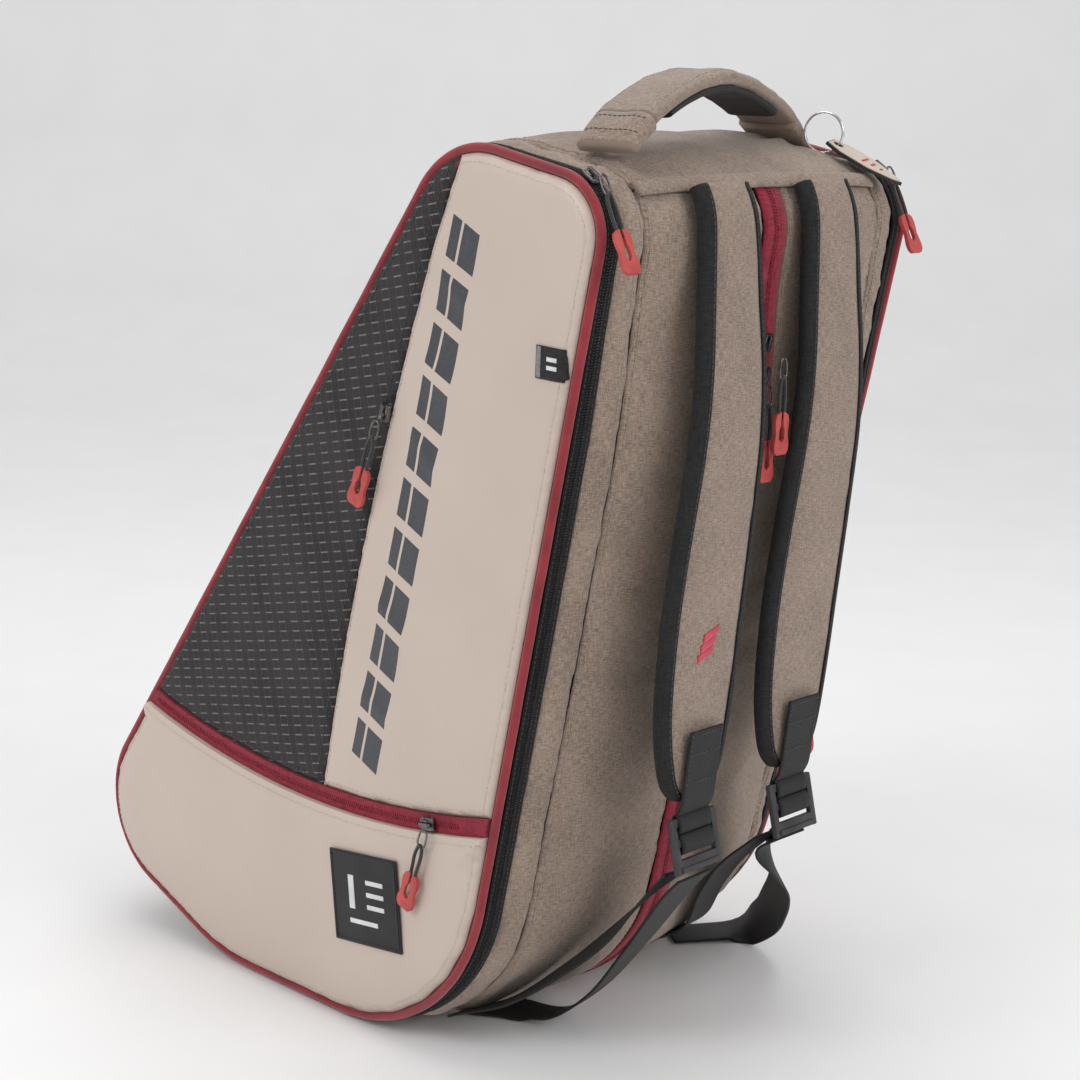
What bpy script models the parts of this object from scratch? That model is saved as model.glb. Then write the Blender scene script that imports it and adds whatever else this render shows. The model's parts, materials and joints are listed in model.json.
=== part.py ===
"""Racket tournament bag: a padded shell with two outer racket compartments behind
zipped doors, a middle compartment behind a zip between two shoulder straps, and a
carry handle. Metres, +Z up. X runs across the racket outline, with the shoulder
straps at +X. Y is the thickness, with the near door at -Y. The bag stands on its
base, and the origin is on the floor under it.
"""

import math

import bmesh
import bpy
from mathutils import Matrix, Vector

# Racket outline, as the piping of a door draws it (corners before rounding)
BASE_LENGTH = 0.228
HEEL_SLOPE = math.radians(22)
FRONT_REACH = 0.198
STRAP_CORNER_X = 0.123
STRAP_EDGE_RISE = 0.543
STRAP_LEAN = math.radians(11.2)
TOP_LENGTH = 0.124
TOP_RISE = 0.0235
RADIUS_STRAP_TOP = 0.035
RADIUS_STRAP_BASE = 0.130
RADIUS_HEEL = 0.150
RADIUS_FRONT_BASE = 0.060
RADIUS_FRONT_TOP = 0.060

# Thickness, from the middle plane outwards
SEAM_DEPTH = 0.111
GUSSET_DEPTH = 0.1295
HALF_DEPTH = 0.141
DIVIDER_DEPTH = 0.090
PIPING_LIFT = 0.004

# Walls and gaps
WALL = 0.003
DIVIDER_WALL = 0.004
TAPE_WALL = 0.0015
GAP = 0.0005
SEAM_GAP = 0.0006
PLACE_GAP = 0.003

# How far the stuffed shell stands out of the outline, at places along it
CROWN = [
    (0.0, 0.008), (0.5, 0.010), (0.65, 0.024), (0.8, 0.026), (1.0, 0.026), (1.5, 0.012), (2.0, 0.010),
    (2.5, 0.010), (3.0, 0.012), (3.5, 0.016), (3.75, 0.018), (4.0, 0.016), (4.5, 0.006), (5.0, 0.008),
]
CROWN_POWER = 0.7

# Seams of the shell, as places along the outline
YOKE_PLACE = 0.20
STRAP_PANEL_END = 1.44
FRONT_START = 2.75
TOP_START = 4.2
CENTRE_ZIP_HALF = 0.011

# Doors
DOOR_ZIP_START = 4.24
DOOR_ZIP_END = 8.28
ZIP_DEPTH = 0.1353
ZIP_SPLIT = 0.0004
DOOR_TAPE_DEPTH = 0.1390
PIPING_RADIUS = 0.0028
DOOR_FACE = 0.1440
DOOR_WALL = 0.0035
CREAM_WALL = 0.0040
RIPSTOP_WALL = 0.0025
POCKET_WALL = 0.0080
POCKET_TAPE_WALL = 0.0028
SKIN_GAP = 0.0003

# Pocket mouth: a shallow arc across the door, and the flap seam above it
POCKET_MOUTH_X = 0.005
POCKET_MOUTH_Z = 0.148
POCKET_MOUTH_RADIUS = 0.65
POCKET_ZIP_WIDTH = 0.011
SEAM_TOP = (0.113, 0.553)
SEAM_MIDDLE = (0.045, 0.345)
SEAM_FOOT = (0.003, 0.160)

# Labels on the near door
PATCH_SIZE = (0.062, 0.060)
PATCH_CENTRE = (0.053, 0.092)
PATCH_TURN = math.radians(7)
PATCH_WALL = 0.0020
TAB_SIZE = (0.025, 0.019)
TAB_CENTRE = (0.197, 0.449)
TAB_TURN = math.radians(-3)
TAB_WALL = 0.0008

# Handle over the top: its two sewn ends, as (x, y), and the arch between them
HANDLE_NEAR_END = (0.199, -0.114)
HANDLE_FAR_END = (0.153, 0.108)
HANDLE_RISE = 0.036
HANDLE_WIDTH = 0.038
HANDLE_WALL = 0.009
HANDLE_FOOT_SHARE = 0.80
HANDLE_PAD_WALL = 0.003
HANDLE_PAD_SHARE = 0.62
HANDLE_POWER = 1.9
HANDLE_GAP = 0.001
HANDLE_FOOT_SECTIONS = (1.0, 0.96, 0.92, 0.86, HANDLE_FOOT_SHARE)
HANDLE_STEPS = 7
HANDLE_PAD_STEPS = 5

# Shoulder straps
STRAP_CENTRE = {-1: 0.053, 1: 0.043}
STRAP_WALL = 0.012
STRAP_SEWN_PLACES = [0.26, 0.33, 0.42]
STRAP_ROUTE = [
    (0.003, -0.037), (0.006, -0.080), (0.005, -0.123),
    (-0.001, -0.176), (-0.007, -0.230), (-0.011, -0.284), (-0.012, -0.319), (-0.013, -0.338),
]
STRAP_WIDTHS = [0.048, 0.049, 0.051, 0.055, 0.060, 0.065, 0.070, 0.072, 0.068, 0.056, 0.038]
WEBBING_WIDTH = 0.030
WEBBING_WALL = 0.0018
WEBBING_OVERLAP = 0.045

# Adjusters (ladder locks)
ADJUSTER_SIZE = (0.042, 0.034)
ADJUSTER_WALL = 0.004
ADJUSTER_DROP = 0.022
ADJUSTER_SLOT = 0.007
ADJUSTER_BAR = 0.0045
ADJUSTER_TILT = math.radians(14)

# Zip sliders and their pulls
SLIDER_SIZE = (0.012, 0.0085, 0.005)
SLIDER_BEVEL = 0.0012
PULL_INSET = 0.001
PULL_CLEAR = 0.0004
PULL_LENGTH = 0.058
PULL_WALL = 0.0026
CORD_HALF = 0.0034
RUBBER_HALF = 0.0072
RUBBER_LENGTH = 0.025
PULL_SLOT = 0.0013
PULL_RISE = SLIDER_SIZE[2] / 2 + PULL_WALL / 2 + PULL_CLEAR
POCKET_PULL_OFFSET = (0.005, 0.0, -0.001)
UPPER_SLIDER_PLACE = 0.568
SLIDER_SPACING = 0.024
UPPER_PULL_SHIFT = 0.0095
CENTRE_ZIP_ARC = 1.82
CENTRE_ZIP_FLARE = 0.105

# Tag on its ring at the far end of the handle
RING_RADIUS = 0.0125
RING_WIRE = 0.0009
RING_CENTRE = (0.1885, 0.104, 0.5740)
RING_TURN = math.radians(18)
RING_HOOK = math.radians(-40)
TAG_LENGTH = 0.048
TAG_WIDTH = 0.022
TAG_WALL = 0.0024
TAG_HOLE = 0.0034
TAG_ALONG = (0.86, 0.25, -0.45)
TAG_FACING = (0.46, 0.02, 0.89)

CORNERS = 5
ARC_STEPS = 6
STRAIGHT_STEPS = 3

NEAR = -1
FAR = 1
SIDE_NAME = {NEAR: "near", FAR: "far"}


def clear_scene():
    for obj in list(bpy.data.objects):
        bpy.data.objects.remove(obj, do_unlink=True)


def new_collection(name):
    collection = bpy.data.collections.new(name)
    bpy.context.scene.collection.children.link(collection)
    return collection


def material(name, colour, roughness, metallic=0.0):
    made = bpy.data.materials.new(name)
    made.use_nodes = True
    shader = made.node_tree.nodes["Principled BSDF"]
    shader.inputs["Base Color"].default_value = (*colour, 1.0)
    shader.inputs["Roughness"].default_value = roughness
    shader.inputs["Metallic"].default_value = metallic
    return made


def add(name, data, finish):
    """A named object in the bag's collection, with its material."""
    obj = bpy.data.objects.new(name, data)
    data.materials.append(finish)
    BAG.objects.link(obj)
    return obj


def joint_empty(name, place, axis):
    """An empty on a joint's axis, with its own Z along the axis."""
    empty = bpy.data.objects.new(name, None)
    empty.matrix_world = Matrix.Translation(place) @ Vector(axis).to_track_quat("Z", "Y").to_matrix().to_4x4()
    empty.empty_display_size = 0.02
    BAG.objects.link(empty)
    return empty


def hang(child, parent):
    """Parents child to parent and leaves it where it is."""
    bpy.context.view_layer.update()
    child.parent = parent
    child.matrix_parent_inverse = parent.matrix_world.inverted()


# Outline


def outline_corners():
    """Strap top, strap base, heel, front base and front top corner, as (x, z)."""
    strap_base = Vector((STRAP_CORNER_X, PIPING_LIFT))
    strap_top = strap_base + STRAP_EDGE_RISE * Vector((math.tan(STRAP_LEAN), 1.0))
    heel = strap_base - Vector((BASE_LENGTH, 0.0))
    front_top = strap_top + Vector((-TOP_LENGTH, TOP_RISE))
    front_foot = heel - Vector((FRONT_REACH, 0.0))
    front = front_top - front_foot
    rise = FRONT_REACH * math.tan(HEEL_SLOPE) / (1 + math.tan(HEEL_SLOPE) * front.x / front.y)
    front_base = front_foot + front * (rise / front.y)
    return [strap_top, strap_base, heel, front_base, front_top]


def fillets():
    """For each corner: the arc's centre, radius and the outward normals where it starts and ends."""
    corners = outline_corners()
    radii = [RADIUS_STRAP_TOP, RADIUS_STRAP_BASE, RADIUS_HEEL, RADIUS_FRONT_BASE, RADIUS_FRONT_TOP]
    found = []
    for index, corner in enumerate(corners):
        before = (corner - corners[index - 1]).normalized()
        after = (corners[(index + 1) % CORNERS] - corner).normalized()
        turn = math.acos(max(-1.0, min(1.0, before.dot(after))))
        radius = radii[index]
        start = corner - before * radius * math.tan(turn / 2)
        normal_in = Vector((-before.y, before.x))
        normal_out = Vector((-after.y, after.x))
        found.append((start - normal_in * radius, radius, normal_in, normal_out))
    return found


def outline_at(place, offset=0.0):
    """Point and outward normal at a place along the outline, both as (x, z).

    Corner k takes places k to k + 0.5, and the straight after it k + 0.5 to k + 1.
    The order is strap top, strap base, heel, front base, front top, and then it repeats.
    """
    place = place % CORNERS
    index = int(place)
    share = place - index
    centre, radius, normal_in, normal_out = FILLETS[index]
    if share <= 0.5:
        turn = normal_in.angle_signed(normal_out)
        normal = normal_in.copy()
        normal.rotate(Matrix.Rotation(-turn * share * 2, 2))
        return centre + normal * (radius + offset), normal
    start = centre + normal_out * (radius + offset)
    next_centre, next_radius, next_normal, _ = FILLETS[(index + 1) % CORNERS]
    end = next_centre + next_normal * (next_radius + offset)
    return start.lerp(end, (share - 0.5) * 2), normal_out


def outline_places(first, last):
    """Places from first to last: even steps round each arc, and fewer along each straight."""
    marks = {first, last}
    for half in range(int(first * 2) - 1, int(last * 2) + 2):
        steps = ARC_STEPS if half % 2 == 0 else STRAIGHT_STEPS
        for step in range(steps):
            mark = (half + step / steps) / 2
            if first + 0.004 < mark < last - 0.004:
                marks.add(mark)
    return sorted(marks)


def crown_at(place):
    """How far the shell stands out at this place, before the profile across the bag."""
    place = place % CORNERS
    for (start, low), (end, high) in zip(CROWN, CROWN[1:]):
        if place <= end:
            share = (place - start) / (end - start)
            return low + (high - low) * share * share * (3 - 2 * share)
    return CROWN[-1][1]


def skin(place, depth, inset=0.0):
    """Point of the stuffed shell at a place and a depth. It lies flat where it meets the floor."""
    bulge = max(0.0, 1.0 - (depth / HALF_DEPTH) ** 2) ** CROWN_POWER
    offset = crown_at(place) * bulge
    point, normal = outline_at(place, offset)
    low = max(point.y, 0.0)
    return Vector((point.x - normal.x * inset, depth, low - normal.y * inset))


# Makers


def sheet_mesh(name, rows, closed):
    """An open grid of quads through rows of points, closed round in the first direction if asked."""
    mesh = bpy.data.meshes.new(name)
    across = len(rows[0])
    points = [point for row in rows for point in row]
    last = len(rows) if closed else len(rows) - 1
    faces = []
    for row in range(last):
        here = row * across
        there = ((row + 1) % len(rows)) * across
        for column in range(across - 1):
            faces.append((here + column, there + column, there + column + 1, here + column + 1))
    mesh.from_pydata(points, [], faces)
    mesh.shade_smooth()
    mesh.set_sharp_from_angle(angle=math.radians(40))
    return mesh


def thicken(obj, thickness, side):
    """Solidify: side -1 grows inwards, and 0 grows both ways."""
    modifier = obj.modifiers.new("Thickness", "SOLIDIFY")
    modifier.thickness = thickness
    modifier.offset = side


def wall(name, places, depths, thickness, finish, closed=False):
    """A stretch of the shell between two depths."""
    rows = [[skin(place, depth) for depth in depths] for place in places]
    obj = add(name, sheet_mesh(name, rows, closed), finish)
    thicken(obj, thickness, -1)
    return obj


def depth_steps(low, high, steps):
    return [low + (high - low) * step / steps for step in range(steps + 1)]


def ribbon(name, points, widths, thickness, finish, side=0):
    """A strap or webbing through points, with a width vector at each."""
    rows = [[point - width / 2, point + width / 2] for point, width in zip(points, widths)]
    obj = add(name, sheet_mesh(name, rows, False), finish)
    thicken(obj, thickness, side)
    return obj


def loft(name, sections, finish):
    """A closed body through sections that have the same number of corners."""
    mesh = bpy.data.meshes.new(name)
    count = len(sections[0])
    points = [corner for section in sections for corner in section]
    last = len(points) - count
    faces = [tuple(range(count)), tuple(range(last, last + count))]
    for start in range(0, last, count):
        for corner in range(count):
            beside = (corner + 1) % count
            faces.append((start + corner, start + beside, start + count + beside, start + count + corner))
    mesh.from_pydata(points, [], faces)
    shape = bmesh.new()
    shape.from_mesh(mesh)
    bmesh.ops.recalc_face_normals(shape, faces=shape.faces)
    shape.to_mesh(mesh)
    shape.free()
    return add(name, mesh, finish)


def flat_curve(name, outlines, thickness, finish):
    """A flat piece with the given outline and holes, thick along its own Z."""
    data = bpy.data.curves.new(name, "CURVE")
    data.dimensions = "2D"
    data.fill_mode = "BOTH"
    data.extrude = thickness / 2
    for outline in outlines:
        spline = data.splines.new("POLY")
        spline.points.add(len(outline) - 1)
        for point, (across, along) in zip(spline.points, outline):
            point.co = (across, along, 0.0, 1.0)
        spline.use_cyclic_u = True
    return add(name, data, finish)


def upright_plate(name, outlines, depth_low, depth_high, finish):
    """A flat piece in an XZ outline, between two Y values."""
    obj = flat_curve(name, outlines, depth_high - depth_low, finish)
    obj.location = (0.0, (depth_low + depth_high) / 2, 0.0)
    obj.rotation_euler = (math.pi / 2, 0.0, 0.0)
    return obj


def side_plate(name, outlines, side, inner, outer, finish):
    """An upright plate on one side of the bag, from an inner to an outer depth."""
    low, high = sorted((side * inner, side * outer))
    return upright_plate(name, outlines, low, high, finish)


def rounded_box(name, size, bevel, finish):
    mesh = bpy.data.meshes.new(name)
    shape = bmesh.new()
    bmesh.ops.create_cube(shape, size=1.0)
    bmesh.ops.scale(shape, vec=Vector(size), verts=shape.verts)
    shape.to_mesh(mesh)
    shape.free()
    obj = add(name, mesh, finish)
    modifier = obj.modifiers.new("Rounding", "BEVEL")
    modifier.width = bevel
    modifier.segments = 1
    return obj


def frame_matrix(place, across, along):
    """A matrix with its X across, Y along and Z out of the plane that they span."""
    across = Vector(across).normalized()
    out = across.cross(Vector(along)).normalized()
    along = out.cross(across)
    turn = Matrix((across, along, out)).transposed().to_4x4()
    return Matrix.Translation(place) @ turn


# Shell


def make_shell():
    steps = 4
    base = outline_places(STRAP_PANEL_END + PLACE_GAP, FRONT_START - PLACE_GAP)
    across = depth_steps(-SEAM_DEPTH + SEAM_GAP / 2, SEAM_DEPTH - SEAM_GAP / 2, 2 * steps)
    wall("base_panel", base, across, WALL, TAN_CLOTH)
    front = outline_places(FRONT_START + PLACE_GAP, TOP_START - PLACE_GAP)
    wall("front_panel", front, across, WALL, TAN_CLOTH)
    top = outline_places(TOP_START + PLACE_GAP, CORNERS + YOKE_PLACE - PLACE_GAP)
    wall("top_panel", top, across, WALL, TAN_CLOTH)
    strap = outline_places(YOKE_PLACE + PLACE_GAP, STRAP_PANEL_END - PLACE_GAP)
    for side in (NEAR, FAR):
        half = depth_steps(CENTRE_ZIP_HALF + SEAM_GAP, SEAM_DEPTH - SEAM_GAP / 2, steps)
        half = sorted(side * depth for depth in half)
        wall(f"strap_panel_{SIDE_NAME[side]}", strap, half, WALL, TAN_CLOTH)
    middle = depth_steps(-CENTRE_ZIP_HALF, CENTRE_ZIP_HALF, 2)
    wall("centre_zip", strap, middle, TAPE_WALL, RED_TAPE)


def make_compartment_walls(side):
    """The gusset ring and zip tape of one racket compartment, and the padded divider behind it."""
    name = SIDE_NAME[side]
    ring = outline_places(0.0, CORNERS)[:-1]
    depths = sorted(side * depth for depth in (SEAM_DEPTH + SEAM_GAP / 2, GUSSET_DEPTH))
    wall(f"gusset_{name}", ring, depths, WALL, TAN_CLOTH, closed=True)
    run = outline_places(DOOR_ZIP_START, DOOR_ZIP_END)
    tape = sorted(side * depth for depth in (GUSSET_DEPTH + GAP, ZIP_DEPTH - ZIP_SPLIT / 2))
    wall(f"zip_tape_{name}", run, tape, TAPE_WALL, BLACK_TAPE)
    edge = [skin(place, side * DIVIDER_DEPTH, WALL + 2 * GAP) for place in ring]
    outline = [(point.x, point.z) for point in edge]
    side_plate(f"divider_{name}", [outline], side, DIVIDER_DEPTH - DIVIDER_WALL, DIVIDER_DEPTH, LINING)


# Doors


def mouth_z(x, raise_by=0.0):
    """Height of the pocket mouth's arc at x."""
    drop = POCKET_MOUTH_RADIUS - raise_by
    return POCKET_MOUTH_Z + raise_by + drop - math.sqrt(drop**2 - (x - POCKET_MOUTH_X) ** 2)


def seam_x(z):
    """X of the flap seam at height z: a shallow curve through its three points."""
    (top_x, top_z), (mid_x, mid_z), (foot_x, foot_z) = SEAM_TOP, SEAM_MIDDLE, SEAM_FOOT
    top = top_x * (z - mid_z) * (z - foot_z) / ((top_z - mid_z) * (top_z - foot_z))
    middle = mid_x * (z - top_z) * (z - foot_z) / ((mid_z - top_z) * (mid_z - foot_z))
    foot = foot_x * (z - top_z) * (z - mid_z) / ((foot_z - top_z) * (foot_z - mid_z))
    return top + middle + foot


def crossing(low, high, above):
    """The place between low and high where above(place) turns from true at low to false at high."""
    for _ in range(40):
        middle = (low + high) / 2
        if above(middle):
            low = middle
        else:
            high = middle
    return (low + high) / 2


def edge_points(first, last, inset):
    return [tuple(outline_at(place, -inset)[0]) for place in outline_places(first, last)]


def mouth_run(from_x, to_x, raise_by, steps=8):
    """Points along the pocket mouth, raised or lowered across it."""
    xs = [from_x + (to_x - from_x) * step / steps for step in range(steps + 1)]
    return [(x, mouth_z(x, raise_by)) for x in xs]


def door_outlines():
    """The outlines of a door's panels, as (x, z) points, inside the piping."""
    inset = PIPING_RADIUS + SKIN_GAP
    half = POCKET_ZIP_WIDTH / 2

    def over_mouth(raise_by):
        def above(place):
            point, _ = outline_at(place, -inset)
            return point.y > mouth_z(point.x, raise_by)
        return above

    def meets(raise_by):
        strap = crossing(0.6, 1.4, over_mouth(raise_by))
        front = crossing(4.0, 3.1, over_mouth(raise_by))
        return strap, front

    high_strap, high_front = meets(half + SKIN_GAP)
    low_strap, low_front = meets(-half - SKIN_GAP)
    tape_top_strap, tape_top_front = meets(half)
    tape_low_strap, tape_low_front = meets(-half)

    def x_at(place):
        return outline_at(place, -inset)[0].x

    def right_of_seam(place):
        point, _ = outline_at(place, -inset)
        return point.x > seam_x(point.y)

    seam_place = crossing(5.0, 4.3, right_of_seam)
    seam_top, _ = outline_at(seam_place, -inset)
    foot_z = mouth_z(seam_x(SEAM_FOOT[1]), half + SKIN_GAP)
    seam_zs = [seam_top.y + (foot_z - seam_top.y) * step / 8 for step in range(1, 8)]
    foot_x = seam_x(foot_z)
    cream = edge_points(seam_place, CORNERS + high_strap, inset)
    cream += mouth_run(x_at(high_strap), foot_x, half + SKIN_GAP)[1:]
    cream += [(seam_x(z), z) for z in reversed(seam_zs)]
    ripstop = [(seam_x(z) - 2 * SKIN_GAP, z) for z in seam_zs]
    ripstop += mouth_run(foot_x - 2 * SKIN_GAP, x_at(high_front), half + SKIN_GAP)
    ripstop += edge_points(high_front, seam_place - 0.01, inset)[1:]
    pocket = edge_points(low_strap, low_front, inset)
    pocket += mouth_run(x_at(low_front), x_at(low_strap), -half - SKIN_GAP, 14)[1:-1]
    tape = mouth_run(x_at(tape_top_strap), x_at(tape_top_front), half, 14)
    tape += mouth_run(x_at(tape_low_front), x_at(tape_low_strap), -half, 14)
    return {"cream": cream, "ripstop": ripstop, "pocket": pocket, "tape": tape}


def make_door(side):
    """One racket door: backing, piping, its half of the zip, its panels and its outer pocket."""
    name = SIDE_NAME[side]
    hinge_low, _ = outline_at(3.5)
    hinge_high, _ = outline_at(4.0)
    axis = Vector((hinge_high.x - hinge_low.x, 0.0, hinge_high.y - hinge_low.y)).normalized()
    place = Vector((hinge_low.x, side * DOOR_TAPE_DEPTH, hinge_low.y))
    hinge = joint_empty(f"door_hinge_{name}", place, axis * side)
    pieces = []
    run = outline_places(DOOR_ZIP_START, DOOR_ZIP_END)
    tape = sorted(side * depth for depth in (ZIP_DEPTH + ZIP_SPLIT / 2, DOOR_TAPE_DEPTH))
    pieces.append(wall(f"door_zip_tape_{name}", run, tape, TAPE_WALL, BLACK_TAPE))
    ring = outline_places(0.0, CORNERS)[:-1]
    backing = edge_points(0.0, CORNERS, PIPING_RADIUS + SKIN_GAP)[:-1]
    inner = DOOR_FACE - DOOR_WALL
    pieces.append(side_plate(f"door_{name}", [backing], side, inner, DOOR_FACE, LINING))
    pieces.append(make_piping(f"piping_{name}", ring, side))
    outlines = door_outlines()
    layers = [
        ("cream_panel", "cream", CREAM_WALL, CREAM_SKIN),
        ("ripstop_panel", "ripstop", RIPSTOP_WALL, RIPSTOP),
        ("lower_pocket", "pocket", POCKET_WALL, CREAM_SKIN),
        ("pocket_zip", "tape", POCKET_TAPE_WALL, RED_TAPE),
    ]
    for layer, outline, thickness, finish in layers:
        inner = DOOR_FACE + SKIN_GAP
        made = side_plate(f"{layer}_{name}", [outlines[outline]], side, inner, inner + thickness, finish)
        pieces.append(made)
    for piece in pieces:
        hang(piece, hinge)
    return hinge


def make_piping(name, ring, side):
    """The round piping sewn in round the edge of a door."""
    data = bpy.data.curves.new(name, "CURVE")
    data.dimensions = "3D"
    data.bevel_depth = PIPING_RADIUS
    data.bevel_resolution = 1
    data.use_fill_caps = True
    spline = data.splines.new("POLY")
    spline.points.add(len(ring) - 1)
    depth = side * (DOOR_TAPE_DEPTH + SKIN_GAP + PIPING_RADIUS)
    for point, place in zip(spline.points, ring):
        on_edge, _ = outline_at(place)
        point.co = (on_edge.x, depth, on_edge.y, 1.0)
    spline.use_cyclic_u = True
    return add(name, data, PIPING)


def turned_rectangle(size, centre, turn):
    half_x, half_z = size[0] / 2, size[1] / 2
    corners = [(-half_x, -half_z), (half_x, -half_z), (half_x, half_z), (-half_x, half_z)]
    cos, sin = math.cos(turn), math.sin(turn)
    return [(centre[0] + x * cos - z * sin, centre[1] + x * sin + z * cos) for x, z in corners]


def make_labels(hinge):
    """The moulded patch on the near lower pocket, and the woven tab in the near door's strap edge."""
    pocket_face = DOOR_FACE + SKIN_GAP + POCKET_WALL
    patch = turned_rectangle(PATCH_SIZE, PATCH_CENTRE, PATCH_TURN)
    inner = pocket_face + SKIN_GAP
    hang(side_plate("rubber_patch", [patch], NEAR, inner, inner + PATCH_WALL, RUBBER), hinge)
    tab = turned_rectangle(TAB_SIZE, TAB_CENTRE, TAB_TURN)
    inner = DOOR_FACE + SKIN_GAP + CREAM_WALL + SKIN_GAP
    hang(side_plate("side_tab", [tab], NEAR, inner, inner + TAB_WALL, BLACK_TAPE), hinge)


# Zip sliders and pulls


def pull_outlines():
    """Cord loop and rubber end, hanging down from the origin along -Y, with the slot between the cords."""
    neck = -(PULL_LENGTH - RUBBER_LENGTH)
    chamfer = 0.003
    right = [
        (CORD_HALF * 0.5, 0.0), (CORD_HALF, -0.002), (CORD_HALF, neck + 0.001),
        (RUBBER_HALF - 0.001, neck), (RUBBER_HALF, neck - 0.004),
        (RUBBER_HALF, -PULL_LENGTH + chamfer), (RUBBER_HALF - chamfer, -PULL_LENGTH),
    ]
    left = [(-x, z) for x, z in reversed(right)]
    slot_end = -PULL_LENGTH + 0.011
    slot = [(-PULL_SLOT, -0.004), (PULL_SLOT, -0.004), (PULL_SLOT, slot_end), (-PULL_SLOT, slot_end)]
    return [right + left, slot]


def make_slider(name, parent, centre, along, out, joint_place, joint_axis, pull_start, pull_along):
    """A slider on its zip, its joint, and its pull on a hinge of its own at the slider's bridge.

    along is the way the zip runs, out points away from the bag, and pull_along is the way the pull lies.
    """
    glide = joint_empty(f"{name}_slider_axis", joint_place, joint_axis)
    if parent:
        hang(glide, parent)
    slider = rounded_box(f"{name}_slider", SLIDER_SIZE, SLIDER_BEVEL, DARK_METAL)
    across = Vector(out).cross(Vector(along))
    slider.matrix_world = frame_matrix(centre, along, across)
    hang(slider, glide)
    down = Vector(pull_along).normalized()
    across = (-down).cross(Vector(out)).normalized()
    swing = joint_empty(f"{name}_pull_axis", pull_start, -across)
    hang(swing, glide)
    pull = flat_curve(f"{name}_pull", pull_outlines(), PULL_WALL, RED_RUBBER)
    pull.matrix_world = frame_matrix(pull_start, across, -down)
    hang(pull, swing)


def make_door_zip_slider(name, side, place):
    """The slider at the top of a door's zip. It starts round the strap top corner."""
    height = crown_at(place) * max(0.0, 1 - ((ZIP_DEPTH - 0.005) / HALF_DEPTH) ** 2) ** CROWN_POWER + GAP
    point, normal = outline_at(place, height + SLIDER_SIZE[2] / 2)
    along = Vector((normal.y, 0.0, -normal.x))
    out = Vector((normal.x, 0.0, normal.y))
    centre = Vector((point.x, side * ZIP_DEPTH, point.y))
    corner = FILLETS[0][0]
    corner_place = Vector((corner.x, side * ZIP_DEPTH, corner.y))
    start = centre + along * (SLIDER_SIZE[0] / 2 - PULL_INSET) + out * PULL_RISE
    reach = (start - corner_place).length
    touch = FILLETS[0][1] + height + PULL_WALL / 2 + 3 * PULL_CLEAR
    lean = math.asin(touch / reach)
    inward = (corner_place - start).normalized()
    pull_along = Matrix.Rotation(-lean, 3, "Y") @ inward
    make_slider(name, None, centre, along, out, corner_place, (0, 1, 0), start, pull_along)


def make_strap_edge_slider(name, side, place):
    """The second slider of a door's zip, on the straight strap edge, with its pull hanging plumb."""
    height = crown_at(place) * max(0.0, 1 - ((ZIP_DEPTH - 0.005) / HALF_DEPTH) ** 2) ** CROWN_POWER + GAP
    point, normal = outline_at(place, height + SLIDER_SIZE[2] / 2)
    up = Vector((-normal.y, 0.0, normal.x))
    out = Vector((normal.x, 0.0, normal.y))
    centre = Vector((point.x, side * ZIP_DEPTH, point.y))
    start = centre - up * (SLIDER_SIZE[0] / 2 - PULL_INSET) + out * PULL_RISE
    make_slider(name, None, centre, up, out, centre, up, start, (0, 0, -1))


def make_centre_slider(name, place, shift, downwards):
    """A slider of the middle compartment's zip, with its pull hanging plumb beside the other.

    The upper one goes straight up, and the lower one down a shallow arc over the swelling of the strap panel.
    """
    foot = skin(place, 0.0)
    _, normal = outline_at(place)
    up = Vector((-normal.y, 0.0, normal.x))
    out = Vector((normal.x, 0.0, normal.y))
    centre = foot + out * (SLIDER_SIZE[2] / 2 + 2 * GAP)
    joint_place, joint_axis = centre, up
    if downwards:
        joint_place = centre - (out + up * CENTRE_ZIP_FLARE).normalized() * CENTRE_ZIP_ARC
        joint_axis = (0, 1, 0)
    start = centre - up * (SLIDER_SIZE[0] / 2 - PULL_INSET) + out * (PULL_RISE + shift)
    make_slider(name, None, centre, up, out, joint_place, joint_axis, start, (0, 0, -1))


def make_flap_slider(name, side, height, hinge):
    """The slider of the long pocket behind the cream panel's edge, with its pull over the ripstop panel."""
    out = Vector((0.0, side, 0.0))
    depth = DOOR_FACE + 2 * SKIN_GAP + CREAM_WALL + SLIDER_SIZE[2] / 2 + SKIN_GAP
    centre = Vector((seam_x(height), side * depth, height))
    foot = Vector((SEAM_FOOT[0], side * depth, SEAM_FOOT[1]))
    up = (centre - foot).normalized()
    start = centre - up * (SLIDER_SIZE[0] / 2 - PULL_INSET) + out * PULL_RISE
    make_slider(name, hinge, centre, up, out, centre, up, start, (-0.34, 0.0, -0.94))


def make_pocket_slider(name, side, x, hinge):
    """The slider of the lower pocket, which runs along the mouth's arc."""
    out = Vector((0.0, side, 0.0))
    depth = DOOR_FACE + SKIN_GAP + POCKET_TAPE_WALL + SKIN_GAP + SLIDER_SIZE[2] / 2
    centre = Vector((x, side * depth, mouth_z(x)))
    arc_centre = Vector((POCKET_MOUTH_X, side * depth, POCKET_MOUTH_Z + POCKET_MOUTH_RADIUS))
    spoke = (centre - arc_centre).normalized()
    along = spoke.cross(out)
    patch_face = DOOR_FACE + 2 * SKIN_GAP + POCKET_WALL + PATCH_WALL
    start = centre + Vector(POCKET_PULL_OFFSET)
    start.y = side * (max(patch_face, depth + SLIDER_SIZE[2] / 2) + 1.5 * PULL_CLEAR + PULL_WALL / 2)
    make_slider(name, hinge, centre, along, out, arc_centre, (0, 1, 0), start, (-0.30, 0.0, -0.95))


# Handle


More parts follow.
